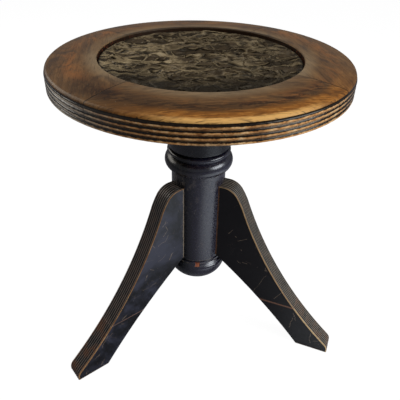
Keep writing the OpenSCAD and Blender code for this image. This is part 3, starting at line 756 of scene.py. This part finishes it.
def stand(name: str, data: bpy.types.ID, *columns: Sequence[float]) -> bpy.types.Object:
    """Makes an object in the scene.

    Args:
        name: its name.
        data: its mesh, lamp or camera.
        columns: its three axes and its place. Without them it stands at the origin.
    Returns:
        The object.
    """
    made = bpy.data.objects.new(name, data)
    bpy.context.scene.collection.objects.link(made)
    if columns:
        matrix = np.eye(4)
        matrix[:3] = np.stack(columns, axis=1)
        made.matrix_world = Matrix(matrix.tolist())
    return made


class Spin(Enum):
    """Which way the faces of a piece are turned."""

    OUT = 1
    IN = -1


@dataclass
class Piece:
    """A closed mesh in the making: a tube of loops with a face over each end.

    Attributes:
        name: the object's name.
        points: loops by points by 3.
        spin: which side the faces show.
        marks: numbers that the points carry, of a shape that fits loops by points.
    """

    name: str
    points: np.ndarray
    spin: Spin = Spin.OUT
    marks: dict[str, np.ndarray] = field(default_factory=dict)

    def faces(self) -> list[list[int]]:
        """Joins point j of loop i to its neighbours in the loop and in the next one.

        Returns:
            The numbers of each face's points.
        """
        index = np.arange(self.points.size // 3).reshape(self.points.shape[:2])
        beside = np.roll(index, -1, axis=1)
        quads = np.stack([index[:-1], index[1:], beside[1:], beside[:-1]], axis=2)
        faces = [*quads.reshape(-1, 4).tolist(), index[0].tolist(), index[-1, ::-1].tolist()]
        return [face[::self.spin.value] for face in faces]

    def finish(self, material: bpy.types.Material, body: str, slot: str, node: str,
               crease: float) -> bpy.types.Object:
        """Makes the object, rides it on its body and lets it stand for a CAD node.

        Args:
            material: its finish.
            body: the CAD body it moves with.
            slot: the record's material slot; not used.
            node: the CAD node that it stands for.
            crease: faces that meet at more than this angle keep a sharp edge.
        Returns:
            The object.
        """
        mesh = bpy.data.meshes.new(self.name)
        mesh.from_pydata(self.points.reshape(-1, 3).tolist(), [], self.faces())
        for key, mark in self.marks.items():
            spread = np.broadcast_to(mark, self.points.shape[:2]).ravel().astype(np.float32)
            mesh.attributes.new(key, "FLOAT", "POINT").data.foreach_set("value", spread)
        mesh.polygons.foreach_set("use_smooth", np.ones(len(mesh.polygons), bool))
        mesh.validate()
        mesh.set_sharp_from_angle(angle=math.radians(crease))
        mesh.materials.append(material)
        made = stand(self.name, mesh)
        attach(made, body)
        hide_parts(node)
        log.info("%s: %d points, %d faces", self.name, len(mesh.vertices), len(mesh.polygons))
        return made


def spun(r: np.ndarray, a: np.ndarray, z: np.ndarray) -> np.ndarray:
    """Points (r cos a, r sin a, z): at radius r, heading a in radians and height z."""
    return np.stack(np.broadcast_arrays(r * np.cos(a), r * np.sin(a), z), axis=2)


def arc(centre: Sequence[float], radius: float, start: float, end: float, steps: int) -> np.ndarray:
    """Points centre + radius * (cos a, sin a), with a from start to end degrees in steps."""
    a = np.radians(np.linspace(start, end, steps + 1))
    return np.asarray(centre) + radius * np.stack([np.cos(a), np.sin(a)], axis=1)


def reed_height(across: np.ndarray, pitch: float, depth: float) -> np.ndarray:
    """Height of a row of reeds above their hollows.

    With x the distance to the nearest reed's middle and R = (pitch^2 / 4 + depth^2) / (2 depth),
    the height is depth - R + sqrt(R^2 - x^2).

    Args:
        across: distance from the edge of the first reed.
        pitch, depth: spacing of the reeds and depth of the hollows.
    Returns:
        The height at each place.
    """
    radius = (pitch**2 / 4 + depth**2) / (2 * depth)
    x = (across / pitch % 1.0 - 0.5) * pitch
    return depth - radius + np.sqrt(radius**2 - x**2)


def lattice_noise(x: np.ndarray, y: np.ndarray, seed: int) -> np.ndarray:
    """Smooth noise from about -1 to 1 at places (x, y).

    Each corner of a unit lattice has a random slope. The four corners' slopes, each times the
    way from its corner, are mixed by 6 t^5 - 15 t^4 + 10 t^3.

    Args:
        x, y: places, in cells.
        seed: picks the slopes.
    Returns:
        The noise at each place.
    """
    rng = np.random.default_rng(seed)
    order, slopes = rng.permutation(256), rng.uniform(0, 2 * np.pi, 256)
    xi, yi = np.floor(x).astype(int), np.floor(y).astype(int)
    xf, yf = x - xi, y - yi

    def corner(dx: int, dy: int) -> np.ndarray:
        """The slope of the corner (dx, dy) of each cell, times the way from it."""
        a = slopes[order[(order[(xi + dx) & 255] + yi + dy) & 255]]
        return np.cos(a) * (xf - dx) + np.sin(a) * (yf - dy)

    u, v = (t * t * t * (t * (t * 6 - 15) + 10) for t in (xf, yf))
    low = corner(0, 0) * (1 - u) + corner(1, 0) * u
    high = corner(0, 1) * (1 - u) + corner(1, 1) * u
    return 1.6 * (low * (1 - v) + high * v)


# --------------------------------------------------------------------------- the seat


@dataclass
class Ring:
    """The reeded ring of the seat: four pieces of wood, glued end to end.

    Attributes:
        outer: radius over the reeds.
        inner: radius of the leather's recess.
        under: height of the underside.
        edge: height of the recess's edge.
        band: height of the reeded band.
        pitch, depth, reeds: the reeds' spacing, depth and number.
        nosing: radius of the rounded edge above the reeds.
        setback: how far the nosing stands back from the reeds.
        crown: rise of the top above a straight line.
        easing: rounding of the recess's edge.
        board: radius and thickness of the rebate for the seat board.
        gap: half the width of a glue line.
        knock: length, height and depth of a knock in the reeds.
        spared: noise below this leaves the reeds whole.
        torn: heading and half width, in degrees, of the splintered part of the lower edge,
            and its height and inner radius.
        shard: length and height of a splinter.
        drawn, broken: mean and spread of how far its wood hangs down and is broken in.
    """

    outer: float = 0.180
    inner: float = 0.1208
    under: float = 0.3964
    edge: float = 0.4238
    band: float = 0.0196
    pitch: float = 0.0053
    depth: float = 0.0013
    reeds: int = 4
    nosing: float = 0.0042
    setback: float = 0.0008
    crown: float = 0.0012
    easing: float = 0.0012
    board: tuple[float, float] = (0.1501, 0.012)
    gap: float = 0.00008
    knock: tuple[float, float, float] = (0.004, 0.0022, 0.0005)
    spared: float = 0.25
    torn: tuple[float, float, float, float] = (-94.5, 8.5, 0.0028, 0.17)
    shard: tuple[float, float] = (0.0035, 0.002)
    drawn: tuple[float, float] = (0.0006, 0.0009)
    broken: tuple[float, float] = (0.0008, 0.0012)

    def outline(self) -> tuple[np.ndarray, dict[str, np.ndarray]]:
        """Half section of the ring, from the recess over the top and round to the rebate.

        The top is the arc through the recess's edge and the top of the nosing whose middle
        stands crown above the chord. Below the nosing the band is the reeds' own height.

        Returns:
            Points as (r, z), and at each point the marks that the polish reads: crest, reeded,
            across (0 to 1 down each reed) and low (0 to 1 down the lowest reed).
        """
        nose = np.array([self.outer - self.setback - self.nosing, self.under + self.band])
        start, end = np.array([self.inner, self.edge]), nose + [0.0, self.nosing]
        share = np.linspace(0.0, 1.0, 41)[:, None]
        chord = end - start
        upward = np.array([-chord[1], chord[0]]) / np.linalg.norm(chord)
        top = start + share * chord + upward * 4 * self.crown * share * (1 - share)
        eased = self.inner + self.easing
        ease = arc((eased, self.edge - self.easing), self.easing, 180, 100, 5)
        smooth = np.concatenate([ease, top[top[:, 0] > eased], arc(nose, self.nosing, 84, 14, 12)])
        down = np.linspace(0.0, self.band, 14 * self.reeds + 1)[1:]
        height = reed_height(down, self.pitch, self.depth)
        core = self.outer - self.depth
        band = np.stack([core + height, self.under + self.band - down], axis=1)
        radius, thick = self.board
        # Along the underside, up the rebate's wall and in along its ceiling
        base = np.array([(core - 0.004, 0), (0.165, 0), (radius, 0), (radius, thick / 2),
                         (radius, thick), (0.135, thick), (self.inner, thick),
                         (self.inner, thick + 0.006)]) + [0, self.under]
        points = np.concatenate([smooth, band, base])
        marks = {key: np.zeros(len(points)) for key in ("crest", "reeded", "across", "low")}
        first, last = len(smooth), len(smooth) + len(band)
        marks["crest"][first:last] = height / self.depth
        marks["reeded"][first - 1:last + 1] = 1.0
        marks["across"][first:last] = (down / self.pitch) % 1.0
        marks["low"][first:last] = np.clip(down / self.pitch - self.reeds + 1.3, 0, 1)
        marks["low"][last] = 1.0
        return points, marks

    def piece(self, name: str, start: float, end: float, finish: RingPolish) -> None:
        """Makes one piece of the ring: the section carried round the axis.

        The crests of the reeds are worn down by slow noise along them, never built up. Part of
        the lower edge is splintered.

        Args:
            name: the CAD node that it stands for.
            start, end: headings of its two glue joints.
            finish: its polish.
        """
        points, marks = self.outline()
        r, z = points.T
        trim = math.degrees(self.gap / self.outer)
        a = np.linspace(start + trim, end - trim, int((end - start) * 2) + 1)[:, None]
        middle, half, high, within = self.torn
        near = np.clip(1 - np.abs((a - (middle + 360) + 180) % 360 - 180) / half, 0, 1)
        a = np.radians(a)
        long, tall, deep = self.knock
        worn = np.clip(lattice_noise(a * self.outer / long, z / tall, 5) - self.spared, 0, 1)
        r = r - deep * worn * marks["crest"]
        torn = near**0.4 * (np.clip(1 - np.abs(z - self.under) / high, 0, 1) * (r > within))
        rag = lattice_noise(a * self.outer / self.shard[0], z / self.shard[1], 9)
        z = z - torn * (self.drawn[0] + self.drawn[1] * rag)
        r = r - torn * np.clip(self.broken[0] + self.broken[1] * rag, 0, 1)
        marks.update(seam=self.outer * np.minimum(a - a[0], a[-1] - a), split=torn)
        Piece(name + "_wood", spun(r, a, z), Spin.IN, marks).finish(
            finish.paint(), "seat", "rim_wood", name, 50.0)

    def build(self) -> None:
        """Makes the four pieces, each with its own figure and wear."""
        self.piece("rim_front", 224, 318, RingPolish("ring_front", 1.0, 3.1, 1.0, 0.95, 0.5))
        self.piece("rim_right", 318, 408, RingPolish("ring_right", 93.0, 7.7, 0.5, 0.4, 0.35))
        self.piece("rim_rear", 48, 134, RingPolish("ring_rear", 1.0, 12.3, 0.1, 0.1, 0.2))
        self.piece("rim_left", 134, 224, RingPolish("ring_left", 89.0, 19.9, 0.4, 0.4, 0.45))


@dataclass
class LeatherPanel:
    """The leather in the ring's recess: creased on top and tucked down at the side.

    Attributes:
        radius: to its side.
        base: height of the seat board's top.
        edge: height of the leather's edge.
        crown: rise to the middle.
        roll: rounding of the edge.
        sunk: how deep a crease goes, and how high a ridge stands.
        rings, spokes: how many points it has outward and around.
        sheets: of folds: heading, how far they are drawn out along it, and strength.
        broad, finer, fainter: width of the broadest folds, and how much finer and fainter each
            next size of them is.
    """

    radius: float = 0.1205
    base: float = 0.4084
    edge: float = 0.4194
    crown: float = 0.0016
    roll: float = 0.0026
    sunk: float = 0.0034
    rings: int = 190
    spokes: int = 480
    sheets: tuple[tuple[float, ...], ...] = ((-8.8, 5.5, 1.0), (16.0, 5.0, 0.94), (-34.0, 4.5, 0.9))
    broad: float = 0.027
    finer: float = 1.9
    fainter: float = 0.56

    def folds(self, x: np.ndarray, y: np.ndarray) -> np.ndarray:
        """Height of the creases, from 0 in the deepest to about 1 on the sharpest ridge.

        Sharp ridges are 1 - |noise|, raised to a power, on a place that slower noise has bent.
        The noise is stretched along a heading. Three such sheets are laid over one another, one
        across the stool and two slanting, and the highest shows.

        Args:
            x, y: places in metres.
        Returns:
            The height at each place.
        """
        highest = np.zeros_like(x)
        for sheet, (turn, stretch, share) in enumerate(self.sheets):
            a = math.radians(turn)
            u = (x * math.cos(a) + y * math.sin(a)) / stretch
            v = -x * math.sin(a) + y * math.cos(a)
            # Bent by 6 and 7 mm on waves of 20 to 30 mm
            bent_u = u + 0.006 * lattice_noise(u / 0.03, v / 0.03, 1 + sheet)
            bent_v = v + 0.007 * lattice_noise(u / 0.02 + 9, v / 0.024, 5 + sheet)
            total, size, weight, whole = 0.0, self.broad, 1.0, 0.0
            for octave in range(5):
                level = lattice_noise(bent_u / size, bent_v / size, 20 + octave + 10 * sheet)
                ridge = 1 - np.clip(np.abs(level), 0, 1)
                total = total + weight * ridge ** (3.4 - 0.3 * octave)
                whole += weight
                size, weight = size / self.finer, weight * self.fainter
            highest = np.maximum(highest, share * total / whole)
        return highest

    def build(self) -> None:
        """Makes the panel as rings that close at the middle, turned down over a rounded edge."""
        level_r = self.radius - self.roll
        r = np.linspace(0.0006, level_r, self.rings)[:, None]
        a = np.linspace(0, 2 * np.pi, self.spokes, endpoint=False)
        fold = self.folds(r * np.cos(a), r * np.sin(a))
        share = r / self.radius
        calm = 1 - np.clip((share - 0.9) / 0.08, 0, 1) ** 2  # the folds die out near the edge
        flat = self.edge + self.crown * (1 - share**2)
        z = flat + self.sunk * np.tanh(5.0 * (fold - 0.6)) * calm
        turn = np.radians(np.linspace(15, 90, 6))[:, None]
        side = np.array([[self.base + 0.004], [self.base + 0.0002]]) + 0 * a
        r = np.concatenate([r, level_r + self.roll * np.sin(turn), np.full((2, 1), self.radius)])
        z = np.concatenate([z, z[-1] - self.roll * (1 - np.cos(turn)), side])
        tucked = np.tile(fold[-1] * 0.2, (len(turn) + len(side), 1))
        panel = Piece("leather_panel", spun(r, a, z),
                      marks={"fold": np.concatenate([fold * calm, tucked])}).finish(
            CreasedLeather().paint(), "seat", "seat_leather", "leather_cover", 60.0)


# --------------------------------------------------------------------------- the legs


class Limb(Enum):
    """The two pieces of wood of a leg."""

    LEG = "leg"
    FOOT = "foot"


@dataclass
class Leg:
    """A leg and its foot: a reeded outer edge on tangent curves, and an arched underside.

    Attributes:
        heading: which way it runs from the axis.
        name: rear, left or right.
        thick: its thickness.
        reeds, depth: number of reeds and depth of their hollows.
        top, root, seat: heights of its top and root, and the radius of its seat.
        neck: distance from the axis at which the level top ends.
        reach, foot: radius of the toe's tip and length of the foot on the floor.
        toe_z: height at which the toe turns upright.
        shoulder, thigh, shin, toe: radii of the curves.
        turn: heading below level at the end of the shoulder.
        kink: how much steeper each curve starts.
        arch: rise of the underside's arch.
        joint: height of the glue joint between leg and foot.
        lag: a height of the edge, and how high a loop's inner end is there and at the top.
        flat, slope: height of the topmost part, and how steeply inner ends rise there.
        clear: least distance between a loop and the one at the joint.
    """

    heading: float
    name: str
    thick: float = 0.026
    reeds: int = 7
    depth: float = 0.001
    top: float = 0.2535
    root: float = 0.1355
    seat: float = 0.0342
    neck: float = 0.042
    reach: float = 0.22
    foot: float = 0.0465
    toe_z: float = 0.0042
    shoulder: float = 0.0228
    thigh: float = 0.105
    shin: float = 0.56
    toe: float = 0.013
    turn: float = 55.0
    kink: float = 1.0
    arch: float = 0.0052
    joint: float = 0.071
    lag: tuple[float, float, float] = (0.2, 0.175, 0.225)
    flat: float = 0.02
    slope: float = 0.6
    clear: float = 1e-4

    def edge_path(self) -> tuple[np.ndarray, np.ndarray]:
        """The reeded edge's line at the bottom of the hollows, from the floor to the column.

        It is an upright, a convex toe, a hollow shin, a convex thigh, a convex shoulder and
        a level top. The shin's centre stands where its circle crosses both the thigh's and
        the toe's at the kink: with radii a and b, those centres are
        sqrt(a^2 + b^2 + 2 a b cos(kink)) apart.

        Returns:
            Points as (u, z), and the outward normal at each.
        """
        def lean(a: Union[float, np.ndarray]) -> np.ndarray:
            """The way that leans a degrees from upright."""
            return np.stack([np.sin(np.radians(a)), np.cos(np.radians(a))], axis=-1)

        def apart(a: float, b: float) -> float:
            """Distance between the centres of two curves with radii a and b."""
            return math.sqrt(a * a + b * b + 2 * a * b * math.cos(math.radians(k)))

        def heading(way: np.ndarray) -> float:
            """How far a way leans from upright, in degrees."""
            return math.degrees(math.atan2(way[0], way[1]))

        def share(a: float, whole: float) -> float:
            """The kink's angle as it is seen over a whole that faces it, with a beside it."""
            return math.degrees(math.asin(a * math.sin(math.radians(k)) / whole))

        def curve(centre: np.ndarray, radius: float, start: float, end: float) -> None:
            """Adds a curve, with a point about every 1.6 mm.

            Args:
                centre, radius: its circle. A hollow curve's radius is negative.
                start, end: its leans from upright, in degrees.
            """
            steps = max(6, int(abs(radius) * math.radians(abs(end - start)) / 0.0016))
            way = lean(np.linspace(start, end, steps + 1))
            parts.append((centre + radius * way, way))

        a1, k = self.turn, self.kink
        shoulder_c = np.array([self.neck, self.top]) - self.shoulder * lean(k)
        thigh_c = shoulder_c + self.shoulder * lean(a1) - self.thigh * lean(a1 + k)
        toe_c = np.array([self.reach, self.toe_z]) - self.toe * lean(90 - k)
        up, out, gap = apart(self.thigh, self.shin), apart(self.toe, self.shin), toe_c - thigh_c
        far = float(np.linalg.norm(gap))
        corner = math.degrees(math.acos((up * up + far * far - out * out) / (2 * up * far)))
        shin_c = thigh_c + up * lean(heading(gap) - corner)
        a2 = heading(shin_c - thigh_c) - share(self.shin, up)
        a3 = heading(shin_c - toe_c) - share(self.toe, out)

        upright = np.linspace(0.0, self.toe_z, 4)[:-1]
        parts = [(np.stack([np.full(3, self.reach), upright], axis=1),
                  np.tile([1.0, 0.0], (3, 1)))]
        curve(toe_c, self.toe, 90 - k, a3 + k)
        curve(shin_c, -self.shin, a3, a2 + k)
        curve(thigh_c, self.thigh, a2, a1 + k)
        curve(shoulder_c, self.shoulder, a1, k)
        level = np.linspace(parts[-1][0][-1, 0], self.seat, 6)[1:]
        parts.append((np.stack([level, np.full(5, self.top)], axis=1), np.tile([0.0, 1.0], (5, 1))))
        path, normal = (np.concatenate(lines) for lines in zip(*parts))
        keep = np.append(True, np.linalg.norm(np.diff(path, axis=0), axis=1) > 1e-5)
        return path[keep], normal[keep]

    def inner_u(self, z: np.ndarray) -> np.ndarray:
        """The underside: an arc from the heel up to the root, then the flat on the column.

        Args:
            z: heights.
        Returns:
            Distance from the axis at each height.
        """
        heel, root = np.array([self.reach - self.foot, 0.0]), np.array([self.seat, self.root])
        span = np.linalg.norm(heel - root)
        way = (heel - root) / span
        radius = (span**2 / 4 + self.arch**2) / (2 * self.arch)
        centre = (heel + root) / 2 + (radius - self.arch) * np.array([way[1], -way[0]])
        rise = np.clip(z, 0.0, self.root) - centre[1]
        return np.where(z >= self.root, self.seat, centre[0] + np.sqrt(radius**2 - rise**2))

    def loft(self, limb: Limb, finish: LegPolish) -> None:
        """Makes the leg or the foot: closed loops, one for each point of the reeded edge.

        A loop runs across the reeds, down one side, across the underside and up the other. Its
        inner end is level with the edge, and lags behind it near the top.

        Args:
            limb: which of the two.
            finish: its polish.
        """
        path, normal = self.edge_path()
        run = np.append(0.0, np.cumsum(np.linalg.norm(np.diff(path, axis=0), axis=1)))
        joint = np.interp(self.joint, path[:, 1], run)
        if limb is Limb.LEG:
            stations = np.append(joint, run[run > joint + self.clear])
        else:
            stations = np.append(run[run < joint - self.clear], joint)
        path, normal = (np.stack([np.interp(stations, run, line[:, k]) for k in (0, 1)], axis=1)
                        for line in (path, normal))
        normal /= np.linalg.norm(normal, axis=1)[:, None]
        bend, *inner_ends = self.lag
        inner_z = np.interp(path[:, 1], [0, self.root, bend, self.top],
                            [0, self.root, *inner_ends])
        inner_z = np.where(path[:, 1] > self.top - self.flat,
                           self.top - 0.0002 - (stations[-1] - stations) * self.slope, inner_z)
        inner_z = np.maximum.accumulate(inner_z)
        inward = np.stack([self.inner_u(inner_z), inner_z], axis=1) - path

        half, per = self.thick / 2, 10
        across = np.linspace(0.0, self.thick, self.reeds * per + 1)
        height = reed_height(across, self.thick / self.reeds, self.depth)
        height[::per] = 0.0
        crests = path[:, None] + normal[:, None] * height[:, None]
        if limb is Limb.LEG:  # the reeds stop just short of the joint
            crests[0, :, 1] = np.minimum(crests[0, :, 1], self.joint + 0.0006)
        else:
            crests[-1, :, 1] = np.minimum(crests[-1, :, 1], self.joint)
            crests[..., 1] = np.maximum(crests[..., 1], 0.0)
        # How far in the sides have points: close together beside the reeds
        down = np.array([0.01, 0.02, 0.035, 0.06, 0.1, 0.2, 0.35, 0.5, 0.65, 0.8, 0.92, 1.0])
        rise, under = down[::-1][1:], np.linspace(-half, half, 7)[1:]
        share = np.concatenate([down, np.ones(len(under)), rise])
        uz = np.concatenate([crests, path[:, None] + share[:, None] * inward[:, None]], axis=1)
        t = np.concatenate([half - across, np.full(len(down), -half), under,
                            np.full(len(rise), half)])
        width = np.linalg.norm(inward, axis=1)[:, None]
        nearest = np.minimum(across, self.thick - across)
        marks = {"edge": np.concatenate([nearest + 0 * width, share * width], axis=1),
                 "reeded": np.repeat([1.0, 0.0], [len(across), len(share)]),
                 "crest": np.append(height / self.depth, 0 * share)}
        a = math.radians(self.heading)
        points = np.stack([uz[..., 0] * math.cos(a) - t * math.sin(a),
                           uz[..., 0] * math.sin(a) + t * math.cos(a), uz[..., 1]], axis=2)
        node = f"{self.name}_{limb.value}"
        Piece(node + "_wood", points, marks=marks).finish(
            finish.paint(), "base", f"{limb.value}_wood", node, 40.0)

    def build(self, upper: LegPolish, lower: LegPolish) -> None:
        """Makes the leg and the foot, with a finish for each."""
        self.loft(Limb.LEG, upper)
        self.loft(Limb.FOOT, lower)


# --------------------------------------------------------------------------- the screw


@dataclass
class LiftScrew:
    """The lifting screw, with its square thread cut right-handed.

    Attributes:
        crest, root: radii of the thread's crests and hollows.
        pitch: rise in a turn.
        low, high: heights of its two ends.
        plain: height above which it is plain, inside the hub.
        lead: length over which the lower end tapers and the thread begins.
        tip: how much thinner than the hollows the lower end is.
        around, step: points in a turn, and distance between the turns of points.
    """

    crest: float = 0.0125
    root: float = 0.0102
    pitch: float = 0.008
    low: float = 0.1384
    high: float = 0.3964
    plain: float = 0.3764
    lead: float = 0.004
    tip: float = 0.0012
    around: int = 48
    step: float = 0.0005

    def build(self) -> None:
        """Makes the screw: the radius is a flat-topped wave of height / pitch - turn."""
        z = np.arange(self.low + 0.001, self.high, self.step)[:, None]
        a = np.linspace(0, 2 * np.pi, self.around, endpoint=False)
        phase = (z / self.pitch - a / (2 * np.pi)) % 1.0
        wave = np.clip((np.abs(phase - 0.5) * 2 - 0.42) / 0.16, 0, 1)
        cut = np.clip((self.plain - z) / 0.002, 0, 1)
        cut = cut * np.clip((z - self.low - 0.002) / self.lead, 0, 1)
        taper = 1 - np.clip((z - self.low) / self.lead + 0.4, 0, 1)
        r = self.crest - (self.crest - self.root) * np.maximum(wave * cut, taper)
        end = np.ones((1, self.around))
        r = np.concatenate([end * (self.root - self.tip), r, end * self.crest])
        z = np.concatenate([[[self.low]], z, [[self.high]]])
        Piece("lift_screw_thread", spun(r, a, z), Spin.IN).finish(
            OldIron("screw_steel", tone(138, 132, 126), 0.55, 0.34).paint(), "seat", "steel",
            "lift_screw", 30.0)


# --------------------------------------------------------------------------- CAD pieces


@dataclass
class Dressing:
    """Gives the CAD pieces that keep their own shape the finish of the real ones."""

    def coat(self, finish: object, *nodes: str) -> None:
        """Paints CAD nodes.

        Args:
            finish: has a paint method.
            nodes: their names.
        """
        material = finish.paint()
        for name in nodes:
            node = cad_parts[name]
            node.data.materials.clear()
            node.data.materials.append(material)
            log.info("%s: dressed in %s", name, material.name)

    def build(self) -> None:
        """Dresses every CAD piece that stays."""
        self.coat(ColumnPolish("column_polish", deep=tone(8, 8, 9), dust_and_sheen_tone=tone(40, 42, 58),
                               dust=0.2, gloss=0.24, shine=0.55, scratch=0.8, seed=2.0,
                               ripple=0.008), "column")
        self.coat(Ebonised("boss_polish", dust=0.2, gloss=0.24, shine=0.7, scratch=0.4, seed=4.0,
                           ripple=0.01), "boss")
        self.coat(BareWood("seat_board_wood", grain=20.0), "seat_board")
        self.coat(BareWood("peg_wood", tone(190, 152, 104), tone(140, 104, 64)),
                  "leg_dowels", "foot_dowels", "rim_tongues")
        self.coat(Felt(), "seat_stuffing")
        self.coat(OldIron("dark_iron"), "screw_nut", "screw_plate", "thrust_washer")
        self.coat(OldIron("wood_screw_steel", tone(128, 118, 108), 0.35), "board_screws",
                  "boss_screws", "plate_screws", "nut_screws")


# --------------------------------------------------------------------------- the studio


@dataclass
class Lamp:
    """A soft square lamp.

    Attributes:
        name: its name.
        heading, height: where it stands, seen from the stool, in degrees.
        away: how far off it is.
        size: its side.
        power: in watts.
        colour: of its light.
        aim: height of the place on the axis that it faces.
    """

    name: str
    heading: float
    height: float
    away: float
    size: float
    power: float
    colour: Colour = (1.0, 1.0, 1.0)
    aim: float = 0.25

    def build(self) -> None:
        """Hangs the lamp so that it faces the stool."""
        data = bpy.data.lights.new(self.name, "AREA")
        data.energy, data.size, data.color = self.power, self.size, self.colour
        a, e = math.radians(self.heading), math.radians(self.height)
        way = np.array([math.cos(e) * math.cos(a), math.cos(e) * math.sin(a), math.sin(e)])
        side = np.cross([0.0, 0.0, 1.0], way)
        side /= np.linalg.norm(side)
        stand(self.name, data, side, np.cross(way, side), way,
              way * self.away + [0.0, 0.0, self.aim])


@dataclass
class Studio:
    """The pale floor, the plain light and the camera.

    Attributes:
        eye: where the camera stands.
        heading, tilt, roll: which way it looks, in degrees, with tilt down from level.
        focus: focal length as a share of the picture's width.
        shade: middle of the floor's painted pool of light, which the lamps see and the camera
            doesn't.
        side: half the floor's side.
    """

    eye: tuple[float, float, float] = (-0.0832, -0.5393, 0.5886)
    heading: float = 80.914
    tilt: float = 34.396
    roll: float = 1.417
    focus: float = 461.64 / 400
    shade: tuple[float, float, float] = (0.28, -0.24, 0.0)
    side: float = 8.0

    def camera(self) -> None:
        """Stands the camera where the photograph was taken."""
        h, t, r = (math.radians(v) for v in (self.heading, self.tilt, self.roll))
        forward = np.array([math.cos(h) * math.cos(t), math.sin(h) * math.cos(t), -math.sin(t)])
        right = np.array([math.sin(h), -math.cos(h), 0.0])
        up = np.cross(right, forward)
        data = bpy.data.cameras.new("camera")
        data.sensor_fit, data.sensor_width = "HORIZONTAL", 36.0
        data.lens, data.clip_start = data.sensor_width * self.focus, 0.01
        bpy.context.scene.camera = stand(
            "camera", data, math.cos(r) * right + math.sin(r) * up,
            math.cos(r) * up - math.sin(r) * right, -forward, self.eye)

    def shown(self, b: Bench, lit: Wire, white: Wire) -> Wire:
        """A shader that the camera sees as white, and everything else as lit."""
        ray = b.node("ShaderNodeLightPath", out="Is Camera Ray")
        return b.node("ShaderNodeMixShader", None, {0: ray, 1: lit, 2: white})

    def floor(self) -> None:
        """Lays the floor: it shows white, and keeps a part of the stool's shadow."""
        b = Bench("floor_pale")
        # Seen by every ray but the camera's: a painted pool of light, with painted shadow round the
        # column.
        painted_pool = b.move("DISTANCE", b.place(), self.shade, out=1).step(0.36, 0.13)
        painted_pool = b.blend(painted_pool * b.radius().step(0.12, 0.18), (0.2, 0.2, 0.23), (0.9, 0.94, 1.0))
        matt, plain = (b.node("ShaderNodeBsdfDiffuse", None, {"Color": colour}, out="BSDF")
                       for colour in (painted_pool, (0.6, 0.6, 0.6)))
        white = b.node("ShaderNodeEmission", None, {"Color": (1.0, 1.0, 1.0), "Strength": 1.13})
        white = b.node("ShaderNodeMixShader", None, {0: 0.85, 1: plain, 2: white})
        b.end(self.shown(b, matt, white))
        s = self.side
        mesh = bpy.data.meshes.new("floor")
        mesh.from_pydata([(-s, -s, 0), (s, -s, 0), (s, s, 0), (-s, s, 0)], [], [(0, 1, 2, 3)])
        mesh.materials.append(b.owner)
        stand("floor", mesh)

    def sky(self) -> None:
        """Lights the world evenly, and shows it white to the camera."""
        world = bpy.data.worlds.new("studio")
        bpy.context.scene.world = world
        b = Bench("studio", world)
        glow, white = (b.node("ShaderNodeBackground", None, {"Color": colour, "Strength": power})
                       for colour, power in (((0.93, 0.96, 1.0), 0.22), ((1.0, 1.0, 1.0), 1.0)))
        b.end(self.shown(b, glow, white), "ShaderNodeOutputWorld")

    def build(self) -> None:
        """Sets up the view, the floor, the world and the lamps."""
        bpy.context.scene.view_settings.view_transform = "Standard"
        self.camera()
        self.floor()
        self.sky()
        Lamp("window", -30.0, 32.0, 1.9, 1.2, 30.0, (0.9, 0.95, 1.0)).build()
        Lamp("ceiling", -60.0, 72.0, 2.1, 1.2, 12.0, (1.0, 0.98, 0.94)).build()
        Lamp("far_window", 146.0, 33.0, 1.8, 1.3, 15.0, (1.0, 0.95, 0.86)).build()


def main() -> None:
    """Builds the studio and the stool, in order."""
    logging.basicConfig(level=logging.INFO, format="%(message)s")
    Studio().build()
    Ring().build()
    LeatherPanel().build()
    # The left leg and foot's lighter, bluish slate is a painted sheen.
    left = dict(dust_and_sheen_tone=tone(64, 65, 80), dust=0.75, gloss=0.32, scratch=0.8, heading=210.0,
                marks=LEFT_MARKS)
    # The right leg and foot's darker slate is painted shade, and their paler grey crests a painted
    # sheen.
    right = dict(deep=tone(24, 21, 22), dust_and_sheen_tone=tone(30, 28, 29), dust=0.5, gloss=0.42, shine=0.28,
                 scratch=0.6, joint=tone(150, 106, 82), joint_half=0.0024, heading=330.0,
                 marks=RIGHT_MARKS, crests=tone(146, 136, 122), glue=tone(124, 84, 54))
    Leg(210, "left").build(
        LegPolish("left_leg_polish", seed=1.0, **left),
        LegPolish("left_foot_polish", seed=1.7, warmth=0.7, bare=0.0015, **left))
    Leg(330, "right").build(
        LegPolish("right_leg_polish", seed=5.0, pale=0.35, **right),
        LegPolish("right_foot_polish", seed=5.6, warmth=0.4, bare=0.0013, pale=0.6, **right))
    Leg(90, "rear").build(
        LegPolish("rear_leg_polish", seed=8.0, dust=0.4),
        LegPolish("rear_foot_polish", seed=8.8, dust=0.4, warmth=0.6))
    LiftScrew().build()
    Dressing().build()


if __name__ == "__main__":
    main()
